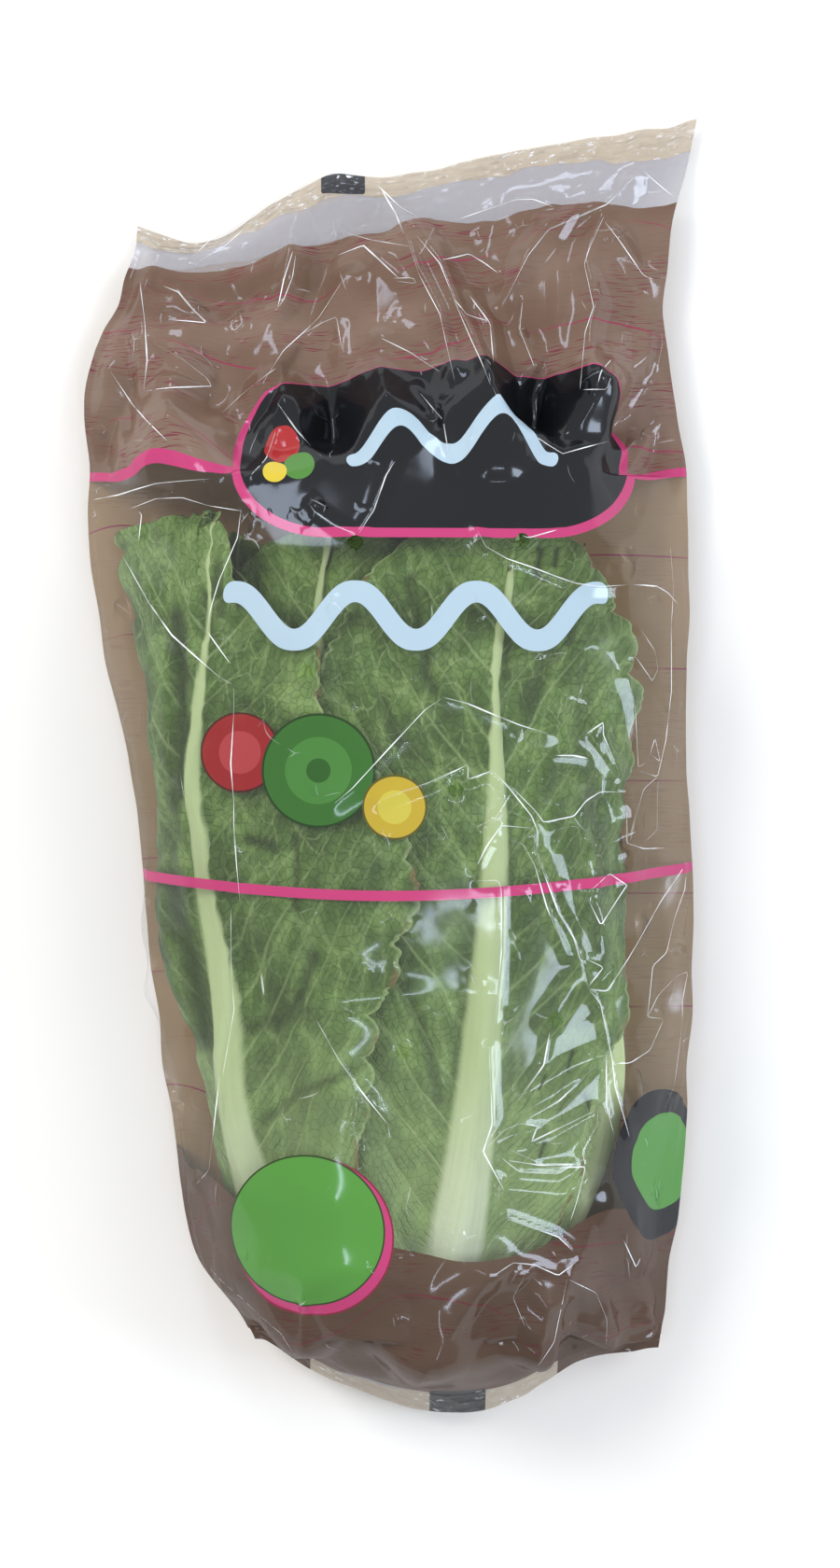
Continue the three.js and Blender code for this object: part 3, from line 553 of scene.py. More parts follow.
def make_leaf(name, number, rows, columns):
    """The leaf that takes the place of this solid: a grid with relief, then given its thickness."""
    points, thick, s, wide, yy, vv = leaf_sheet(name, number, rows, columns)
    tip = yy[-1, 0]
    out = np.cross(np.gradient(points, axis=0), np.gradient(points, axis=1))
    out /= np.linalg.norm(out, axis=2, keepdims=True) + 1e-9
    flat = points - [HEART_MIDDLE[0], 0, HEART_MIDDLE[2]]
    flat[..., 1] = 0
    out *= np.sign((out * flat).sum(2).mean())
    a, edge = np.abs(s), np.abs(s) / wide
    climb = VEIN_CLIMB * a + VEIN_CURL * a * a
    wander = 4 * noise(s, yy, 34, number) + 1.2 * noise(s, yy, 14, 31 + number)
    phase = (yy - climb + wander) / VEIN_STEP + np.where(s > 0, 0.45, 0)
    vein_gap = VEIN_STEP / np.hypot(1, VEIN_CLIMB + 2 * VEIN_CURL * a)
    off_vein = np.abs(phase - np.round(phase)) * vein_gap
    side_vein = np.exp(-(off_vein / (0.6 + 0.9 * (1 - edge))) ** 2)
    side_vein *= fall(0.7, 1.0, edge) * (1 - fall(0.0, 0.05, vv))
    cell_u, cell_v = phase * VEIN_STEP * 0.62, s + 2 * noise(s, yy, 14, 5 + number)
    near, second = cells(cell_u / QUILT, cell_v / (1.2 * QUILT), 100 + number)
    seam = second - near
    near, second = cells(cell_u / BIG_QUILT + 0.3, cell_v / (1.15 * BIG_QUILT), 300 + number)
    big_seam = second - near
    pocket = (1 - np.exp(-(seam / 0.4) ** 2)) * (1 - side_vein)
    big_pocket = 1 - np.exp(-(big_seam / 0.4) ** 2)
    off_rib = 1 - fall(0.8, 1.25, a / along(*zip(*RIB_HALF), vv.ravel()).reshape(vv.shape))
    quilted = off_rib * (0.35 + 0.65 * (1 - fall(0.1, 0.5, vv)))
    quilted *= np.clip(0.75 + 0.6 * noise(s, yy, 24, 9 + number), 0.2, 1.3)
    ruffle = edge ** 2.2 * (0.35 + 0.65 * vv)
    wave = 1.1 * np.sin(yy / 4.6 + 2.6 * noise(s, yy, 26, 40 + number)) + 1.3 * noise(s, yy, 12, 50 + number)
    wave += 0.9 if number == 11 else -0.5  # the top leaf's ruffle stands out, the others' is pressed in
    # how deep the hollows sink, and how much painted shade lies in them
    hollow, deep = np.zeros((2, rows, columns))
    for depth, half, dark, line in HOLLOWS.get(name, []):
        near = nearness(points[..., 0] + 0.8 * noise(s, yy, 5, 68), points[..., 1], line, half)
        hollow = np.maximum(hollow, dark * np.minimum(1, 1.5 * near) * (near > 0))
        deep = np.maximum(deep, depth * near ** 0.8)
    relief = (0.8 * pocket + 0.95 * big_pocket) * quilted - 0.8 * quilted - 0.3 * side_vein * off_rib
    relief += ruffle * wave + (0.7 * noise(s, yy, 28, 60 + number) + 0.3 * noise(s, yy, 9, 63 + number)) * off_rib
    relief = np.clip(relief - deep, DEEPEST, HIGHEST)
    points = points + relief[..., None] * out
    # the tip's own edge is ragged and wavy as well
    end = fall(0, 7, tip - yy)
    points[..., 1] += end * (2.6 * noise(s, 0 * s, 8, 70 + number) + 1.4 * noise(s, 0 * s, 3, 71 + number) - 1)
    points += (end * 1.1 * (np.sin(s / 2.4 + number) - 1.7))[..., None] * out
    leaf = new_grid(name + "_fresh", rows, columns)
    order = set_points(leaf, points)
    set_uv(leaf, order, s, yy)
    set_values(leaf, order, off_rib=off_rib, vein_phase=phase, vein_gap=vein_gap, edge=edge, share=vv,
               seam=seam * QUILT, big_seam=big_seam * BIG_QUILT, hollow=hollow)
    group = leaf.vertex_groups.new(name="thickness")
    flat_share = np.zeros(len(order))
    flat_share[order] = np.clip(thick / THICKEST, 0.05, 1).ravel()
    for k, value in enumerate(flat_share):
        group.add([k], float(value), "REPLACE")
    # the grid's faces must look outwards before it is thickened
    middle = leaf.data.polygons[len(leaf.data.polygons) // 2]
    away = middle.center - Vector((MM * HEART_MIDDLE[0], middle.center.y, MM * HEART_MIDDLE[2]))
    if middle.normal.dot(away) < 0:
        leaf.data.flip_normals()
    thickened = leaf.modifiers.new("thickness", "SOLIDIFY")
    thickened.thickness, thickened.offset, thickened.vertex_group = MM * THICKEST, 1, "thickness"
    bpy.context.view_layer.objects.active = leaf
    bpy.ops.object.modifier_apply(modifier=thickened.name)
    shade_smooth(leaf)
    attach(leaf, "root")
    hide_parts(name)
    return leaf


def leaf_material(name, dark, mid, light, vein, rib, foot, pale=(1, 0, 0)):
    """Living leaf: waxy and matt, blotched green, with pale veins, a fine net of dark grooves, and a pale
    rib that is whiter at its foot; the dark grooves and the hollows carry painted shade. pale: from where to where
    along the leaf the blade turns pale, and how far."""
    made = new_material(name)
    place = node(made, "UVMap").outputs["UV"]
    off_rib, vein_phase, vein_gap, edge, share, seam, big_seam, hollow = [
        node(made, "Attribute", attribute_name=label).outputs["Fac"]
        for label in ("off_rib", "vein_phase", "vein_gap", "edge", "share", "seam", "big_seam", "hollow")]
    # blotches 15 mm and 40 mm across, and darker middles of the quilted pockets
    patches = node(made, "TexNoise", place, Scale=75, Detail=5, Roughness=0.68)
    wide_patches = node(made, "TexNoise", place, Scale=25, Detail=1)
    tone = node(made, "Math", patches, 1.75, node(made, "Math", wide_patches, 1.1, -0.92, operation="MULTIPLY_ADD"),
        operation="MULTIPLY_ADD")
    tone = node(made, "Math", tone, node(made, "MapRange", seam, 0.5, 4.5, 0.1, -0.1), operation="ADD")
    tone = node(made, "Math", tone, node(made, "MapRange", big_seam, 0.5, 7, 0.12, -0.12), operation="ADD")
    tone = node(made, "Math", tone, node(made, "MapRange", share, 0.86, 1.0, 0, 0.45), operation="ADD")
    colour = node(made, "Mix", node(made, "MapRange", tone, 0.0, 0.48), dark, mid, data_type="RGBA")
    colour = node(made, "Mix", node(made, "MapRange", tone, 0.48, 1.0), colour, light, data_type="RGBA")
    colour = node(made, "Mix", node(made, "MapRange", share, pale[0], pale[1], 0, pale[2]), colour, "#a9c186",
        data_type="RGBA")
    # side veins: each of its own strength, thin, paler than the blade
    number = node(made, "Math", vein_phase, operation="ROUND")
    strength = node(made, "MapRange", node(made, "TexWhiteNoise", number, noise_dimensions="1D"), 0, 1, 0.22, 0.62)
    off = node(made, "Math", node(made, "Math", vein_phase, number, operation="SUBTRACT"), operation="ABSOLUTE")
    off = node(made, "Math", off, vein_gap, operation="MULTIPLY")
    side = node(made, "MapRange", off, node(made, "MapRange", edge, 0, 1, 1.1, 0.4), 0)
    side = node(made, "Math", side, strength, operation="MULTIPLY")
    side = node(made, "Math", side, node(made, "MapRange", edge, 0.35, 1.0, 1, 0.1), operation="MULTIPLY")
    # thin dark lines between them, 3.4 mm apart, that come and go: grooves in the bump, darkened with painted shade
    shaded_grooves = node(made, "Math", vein_phase, 5, node(made, "Math", patches, 1.6, operation="MULTIPLY"),
        operation="MULTIPLY_ADD")
    shaded_grooves = node(made, "Math", shaded_grooves, 0.5, operation="PINGPONG")
    shaded_grooves = node(made, "MapRange", shaded_grooves, 0.12, 0.04)
    gone = node(made, "TexNoise", place, Scale=95, Detail=2)
    shaded_grooves = node(made, "Math", shaded_grooves, node(made, "MapRange", gone, 0.46, 0.56, 0, 0.28), operation="MULTIPLY")
    # the network: pale round the pockets, and a finer one of dark grooves 2.5 mm across, sunk in the bump and
    # darkened with painted shade
    net = node(made, "Math", node(made, "MapRange", seam, 1.3, 0.2, 0, 0.14),
        node(made, "MapRange", big_seam, 1.9, 0.3, 0, 0.36), operation="MAXIMUM")
    warp = node(made, "TexNoise", place, Scale=130, Detail=1).outputs["Color"]
    fine = node(made, "Mapping", place, Scale=(400, 330, 1))
    fine = node(made, "VectorMath", fine, warp, operation="ADD")
    fine = node(made, "TexVoronoi", fine, Scale=1, feature="DISTANCE_TO_EDGE", voronoi_dimensions="2D")
    fine = node(made, "Math", node(made, "MapRange", fine, 0.1, 0.02, 0, 0.32),
        node(made, "MapRange", share, 0.1, 0.5, 0.35, 1), operation="MULTIPLY")
    # thin pale veins that close on each other, 7 mm apart, towards the tip
    lace = node(made, "VectorMath", node(made, "Mapping", place, Scale=(150, 125, 1)), warp, operation="ADD")
    lace = node(made, "TexVoronoi", lace, Scale=1, feature="DISTANCE_TO_EDGE", voronoi_dimensions="2D")
    lace = node(made, "Math", node(made, "MapRange", lace, 0.07, 0.015, 0, 0.34),
        node(made, "MapRange", share, 0.3, 0.75, 0.2, 1), operation="MULTIPLY")
    lace = node(made, "Math", lace, node(made, "MapRange", gone, 0.4, 0.6), operation="MULTIPLY")
    # torn and bruised spots along the margin
    worn = node(made, "Math", node(made, "MapRange", edge, 0.955, 0.985),
        node(made, "MapRange", gone, 0.52, 0.6, 0, 0.75), operation="MULTIPLY")
    # the layers of the blade's colour, each over the ones before: how much, and its colour; the last is painted
    # shade in the hollows
    for amount, tint in (
            (fine, dark), (lace, vein), (shaded_grooves, dark),
            (node(made, "Math", net, patches, operation="MULTIPLY"), vein), (side, vein),
            (node(made, "MapRange", edge, 0.972, 0.995, 0, 0.6), vein), (worn, "#6a5230"),
            (node(made, "Math", hollow, 0.8, operation="MULTIPLY"), "#2b3a1a")):
        colour = node(made, "Mix", amount, colour, tint, data_type="RGBA")
    streaks = node(made, "TexNoise", node(made, "Mapping", place, Scale=(700, 30, 1)), Scale=1, Detail=2)
    rib_colour = node(made, "Mix", node(made, "MapRange", share, 0.32, 0.0), rib, foot, data_type="RGBA")
    rib_colour = node(made, "Mix", node(made, "MapRange", streaks, 0.45, 0.8, 0, 0.4), rib_colour, vein,
        data_type="RGBA")
    colour = node(made, "Mix", off_rib, rib_colour, colour, data_type="RGBA")
    colour = node(made, "Mix", node(made, "MapRange", share, 0.12, 0.0, 0, 0.8), colour, foot, data_type="RGBA")
    height = node(made, "Math", side, node(made, "Math", shaded_grooves, fine, operation="ADD"), operation="SUBTRACT")
    height = node(made, "Math", height, off_rib, node(made, "Math", patches, 0.9, operation="MULTIPLY"),
        operation="MULTIPLY_ADD")
    height = node(made, "Math", streaks, node(made, "MapRange", off_rib, 0, 1, 0.25, 0), height,
        operation="MULTIPLY_ADD")
    bump = node(made, "Bump", Height=height, Strength=0.8, Distance=0.0008)
    node(made, "OutputMaterial", node(made, "BsdfPrincipled", colour, Roughness=0.55, IOR=1.4, Normal=bump))
    return made


outer_green = leaf_material(
    "romaine_blade_outer", "#364c1f", "#4d682f", "#6d8a48", "#9db37b", "#a9ba88", "#cfd8c0", (0.42, 0.1, 0.44))
inner_green = leaf_material(
    "romaine_blade_inner", "#587a35", "#7a9b4b", "#a0bb68", "#b9cd8c", "#cbdaa4", "#dde5c6")
shaded_green = leaf_material(
    "romaine_blade_shaded", "#3c5423", "#5c7a3e", "#86a25e", "#abc085", "#bccd95", "#d2dbb6", (0.8, 0.5, 0.9))
# Leaves from this number on, and the rows and columns of their grids, their slot and their green.
KINDS_OF_LEAF = [
    (10, 300, 150, "outer_leaf", outer_green), (9, 150, 90, "outer_leaf", outer_green),
    (8, 150, 90, "outer_leaf", shaded_green), (6, 150, 90, "outer_leaf", outer_green),
    (1, 80, 50, "inner_leaf", inner_green)]
for number in range(1, 12):
    _, rows, columns, leaf_slot, green = next(kind for kind in KINDS_OF_LEAF if number >= kind[0])
    leaf = make_leaf(f"leaf_{number:02d}", number, rows, columns)
    leaf.data.materials.append(green)

# ---- Film bag ----
# Two panels of one thin printed film, welded and crimped across both ends: the upper one pulled over
# the leaves and creased where it is empty, the lower one flat with the lap seam that closes the tube.
# Rows of the bag, as in the frame: place of its two folds, and its height where there are no leaves.
LEFT_FOLD = [
    (-221, -40), (-205, -43), (-190, -50), (-173, -63), (-157, -71), (-122, -76), (-58, -84), (6, -91),
    (38, -99), (74, -104), (100, -104.6), (130, -104.6), (165, -92), (190, -87), (221, -87)]
RIGHT_FOLD = [
    (-221, 86), (-198, 92), (-154, 97), (-122, 100), (-58, 103), (-10, 101), (38, 101), (86, 101),
    (134, 96), (163, 93), (190, 97), (221, 105)]
EMPTY_HIGH = [(70, 76), (100, 56), (120, 42), (140, 32), (160, 25), (180, 17), (200, 9), (221, 5)]
FOLD_HIGH = 12  # height of the two side folds
FLOOR_STRIPS = ((-137, 36), (66, 12))  # places where the bag touches the table, and half widths there
# The two ends as they lie, from left to right.
TOP_EDGE = [(-87, 185), (-72, 180), (-57, 181), (-40, 193), (-22, 202), (0, 202), (45, 211), (90, 218), (105, 221)]
BOTTOM_EDGE = [(-43, -196), (-26, -207), (0, -217), (24, -221), (42, -217), (58, -206), (72, -201), (92, -199)]
BAG_END = 221  # half the bag's length
WELD = 9  # length of the pressed end
ROW_STEP = 13.5  # between the rings that the bag is drawn through
RING_POINTS = 120  # in each half of a ring
REACH = 22  # how far along it a ring feels the leaves
ROOM = 2.4  # between film and leaves
WALL = 0.6
LIES_LOW, TOUCHES = 1.3, 0.35  # height of the lower panel: in general, and on the table
CORNER_ROUNDINGS = 16
VENTS = [(-12, 73), (43, 74), (21, -8), (4, -94), (54, -84)]  # punched holes
VENT_RADIUS = 2.7
BAG_ROWS = 410
FRONT_COLUMNS = 236
BACK_COLUMNS = 110
SMOOTHINGS, EASED_EACH = 240, 10  # rounds of pulling tight, and how often the film is eased off the leaves
MAY_SINK = 0.8  # how far the pulling may bring the film towards the leaves

leaf_points = []
for number in range(1, 12):
    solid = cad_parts[f"leaf_{number:02d}"].data
    corners = np.array([corner.co for corner in solid.vertices]) / MM
    faces = np.array([polygon.vertices[:] for polygon in solid.polygons])
    leaf_points += [corners, (corners[faces] + corners[np.roll(faces, 1, axis=1)]).reshape(-1, 3) / 2]
leaf_points = np.unique(np.round(np.concatenate(leaf_points), 2), axis=0)


def value_at(table, place):
    places, values = zip(*table)
    return float(along(places, values, np.array([float(place)]))[0])


def hull_chain(points, side, count):
    """Even steps along the upper (1) or lower (-1) hull of points in x and z, from left to right."""
    slot = np.round(points[:, 0] / 0.4).astype(int)
    keep = np.lexsort((-side * points[:, 1], slot))
    points = points[keep][np.unique(slot[keep], return_index=True)[1]]
    points = points[np.argsort(points[:, 0])]
    chain = []
    for p in points:
        while len(chain) > 1:
            o, q = chain[-2:]
            if side * ((q[0] - o[0]) * (p[1] - o[1]) - (q[1] - o[1]) * (p[0] - o[0])) < 0:
                break
            chain.pop()
        chain.append(p)
    chain = np.array(chain)
    far = np.r_[0, np.cumsum(np.hypot(*np.diff(chain, axis=0).T))]
    at = np.linspace(0, far[-1], count)
    chain = np.stack([np.interp(at, far, chain[:, 0]), np.interp(at, far, chain[:, 1])], 1)
    for _ in range(CORNER_ROUNDINGS):  # the film bends round corners in a curve
        chain[1:-1] = chain[1:-1] / 2 + (chain[:-2] + chain[2:]) / 4
    return chain


def bag_ring(y, left_y, right_y):
    """The upper and the lower half of one ring of the bag: x and z from the left fold to the right."""
    left, right = value_at(LEFT_FOLD, left_y) + WALL, value_at(RIGHT_FOLD, right_y) - WALL
    near = leaf_points[np.abs(leaf_points[:, 1] - y) < REACH][:, [0, 2]]
    points = []
    for k in range(8):
        rise = (ROOM if k < 4 else LIES_LOW) + WALL
        points.append(near + [(ROOM + WALL) * math.cos(k * math.pi / 4), rise * math.sin(k * math.pi / 4)])
    middle, half = (left + right) / 2, (right - left) / 2
    strip = [wide for place, wide in FLOOR_STRIPS if abs(place - y) < ROW_STEP]
    low_half, low_high = (strip[0], TOUCHES) if strip else (FLOOR_STRIPS[0][1], LIES_LOW)
    low = [(middle + side * low_half, low_high) for side in (-1, 1)]
    empty = []
    if y >= EMPTY_HIGH[0][0]:
        high = value_at(EMPTY_HIGH, y) + WALL
        empty = [(middle + t * half, high * (1 - 0.4 * t * t)) for t in (-0.7, -0.4, 0, 0.4, 0.7)]
    points = np.concatenate([*points, low, empty or low])
    points = points[(points[:, 0] > left) & (points[:, 0] < right)]
    points = np.concatenate([points, [(left, FOLD_HIGH), (right, FOLD_HIGH)]])
    return hull_chain(points, 1, RING_POINTS), hull_chain(points, -1, RING_POINTS)


def bag_end(start, edge, weld_high):
    """The rings from an upright row out to an end, leaning over and then pressed flat: place and points."""
    length = BAG_END - abs(start)
    shut = 1 - WELD / length
    rings = []
    for t in [shut * k / 9 for k in range(1, 10)] + [(1 + shut) / 2, 1]:
        leaned = [start + t * (end - start) for end in (math.copysign(BAG_END, start), edge[0][1], edge[-1][1])]
        squeeze = float(fall(0.55 * shut, shut, t - WALL / length))
        sheets = []
        for side, half in zip((1, -1), bag_ring(*leaned)):
            x, z = half.T
            at_fold = np.r_[0, np.ones(len(x) - 2), 0]
            flat = weld_high + 0.15 * side * at_fold + 2.2 * noise(x, 0 * x, 38, 5) + noise(x, 0 * x, 11, 6)
            z = squeeze * z + (1 - squeeze) * flat
            y = start + t * (along(*zip(*edge), x) - start)
            sheets.append(np.stack([x, y, z], 1))
        rings.append((leaned[0], *sheets))
    return rings


TOP_START, BOTTOM_START, UPRIGHT_RINGS = 140, -184, 25
rings = bag_end(BOTTOM_START, BOTTOM_EDGE, 14)[::-1]
for k in range(UPRIGHT_RINGS):
    y = BOTTOM_START + (TOP_START - BOTTOM_START) * k / (UPRIGHT_RINGS - 1)
    rings.append((y, *[np.stack([half[:, 0], 0 * half[:, 0] + y, half[:, 1]], 1) for half in bag_ring(y, y, y)]))
rings += bag_end(TOP_START, TOP_EDGE, 5)
ring_place = np.array([ring[0] for ring in rings])
bag_place = np.linspace(-BAG_END, BAG_END, BAG_ROWS)


def outward(sheet, side):
    """Unit normals of a half of the bag, outwards: side is 1 for the upper half and -1 for the lower."""
    normal = np.cross(np.gradient(sheet, axis=1), np.gradient(sheet, axis=0)) * side
    return normal / (np.linalg.norm(normal, axis=2, keepdims=True) + 1e-9)


def panel_base(side, columns):
    """One half of the bag before it is creased: its points, and their places on the flat film."""
    sheet = along(ring_place, np.array([ring[side] for ring in rings]), bag_place)
    at = np.linspace(0, RING_POINTS - 1, columns)
    sheet = along(np.arange(RING_POINTS), sheet.transpose(1, 0, 2), at).transpose(1, 0, 2)
    across = np.cumsum(np.r_["1", np.zeros((BAG_ROWS, 1)), np.linalg.norm(np.diff(sheet, axis=1), axis=2)], axis=1)
    # pulled tight, the film bends evenly from row to row, but it never sinks into the leaves
    hull, out = sheet.copy(), outward(sheet, 1 if side == 1 else -1)
    for k in range(SMOOTHINGS):
        sheet[1:-1, 1:-1] = (sheet[:-2, 1:-1] + sheet[2:, 1:-1] + sheet[1:-1, :-2] + sheet[1:-1, 2:]) / 4
        if (k + 1) % EASED_EACH == 0 and k < SMOOTHINGS - EASED_EACH:
            sunk = ((hull - sheet) * out).sum(2)
            sheet += np.maximum(sunk - MAY_SINK, 0)[..., None] * out
    middle = across[:, -1:] / 2
    return sheet, across - middle, np.repeat(bag_place[:, None], columns, 1), middle


def facets(u, v, wide, high, turn, seed):
    """Flat facets that meet in sharp creases, from -0.5 to 0.5, and how near a crease is, from 0 to 1."""
    c, s = math.cos(math.radians(turn)), math.sin(math.radians(turn))
    u, v = c * u + s * v, c * v - s * u
    u = u + 0.16 * wide * noise(u, v, 1.1 * wide, seed + 7)
    a1, a2 = cells(u / wide, v / high, seed)
    b1, b2 = cells(u / wide + 0.37, v / high + 0.61, seed + 1)
    crease = np.exp(-((a2 - a1) * wide / 1.3) ** 2) + np.exp(-((b2 - b1) * wide / 1.3) ** 2)
    return a1 ** 2 - b1 ** 2, np.minimum(crease, 1)
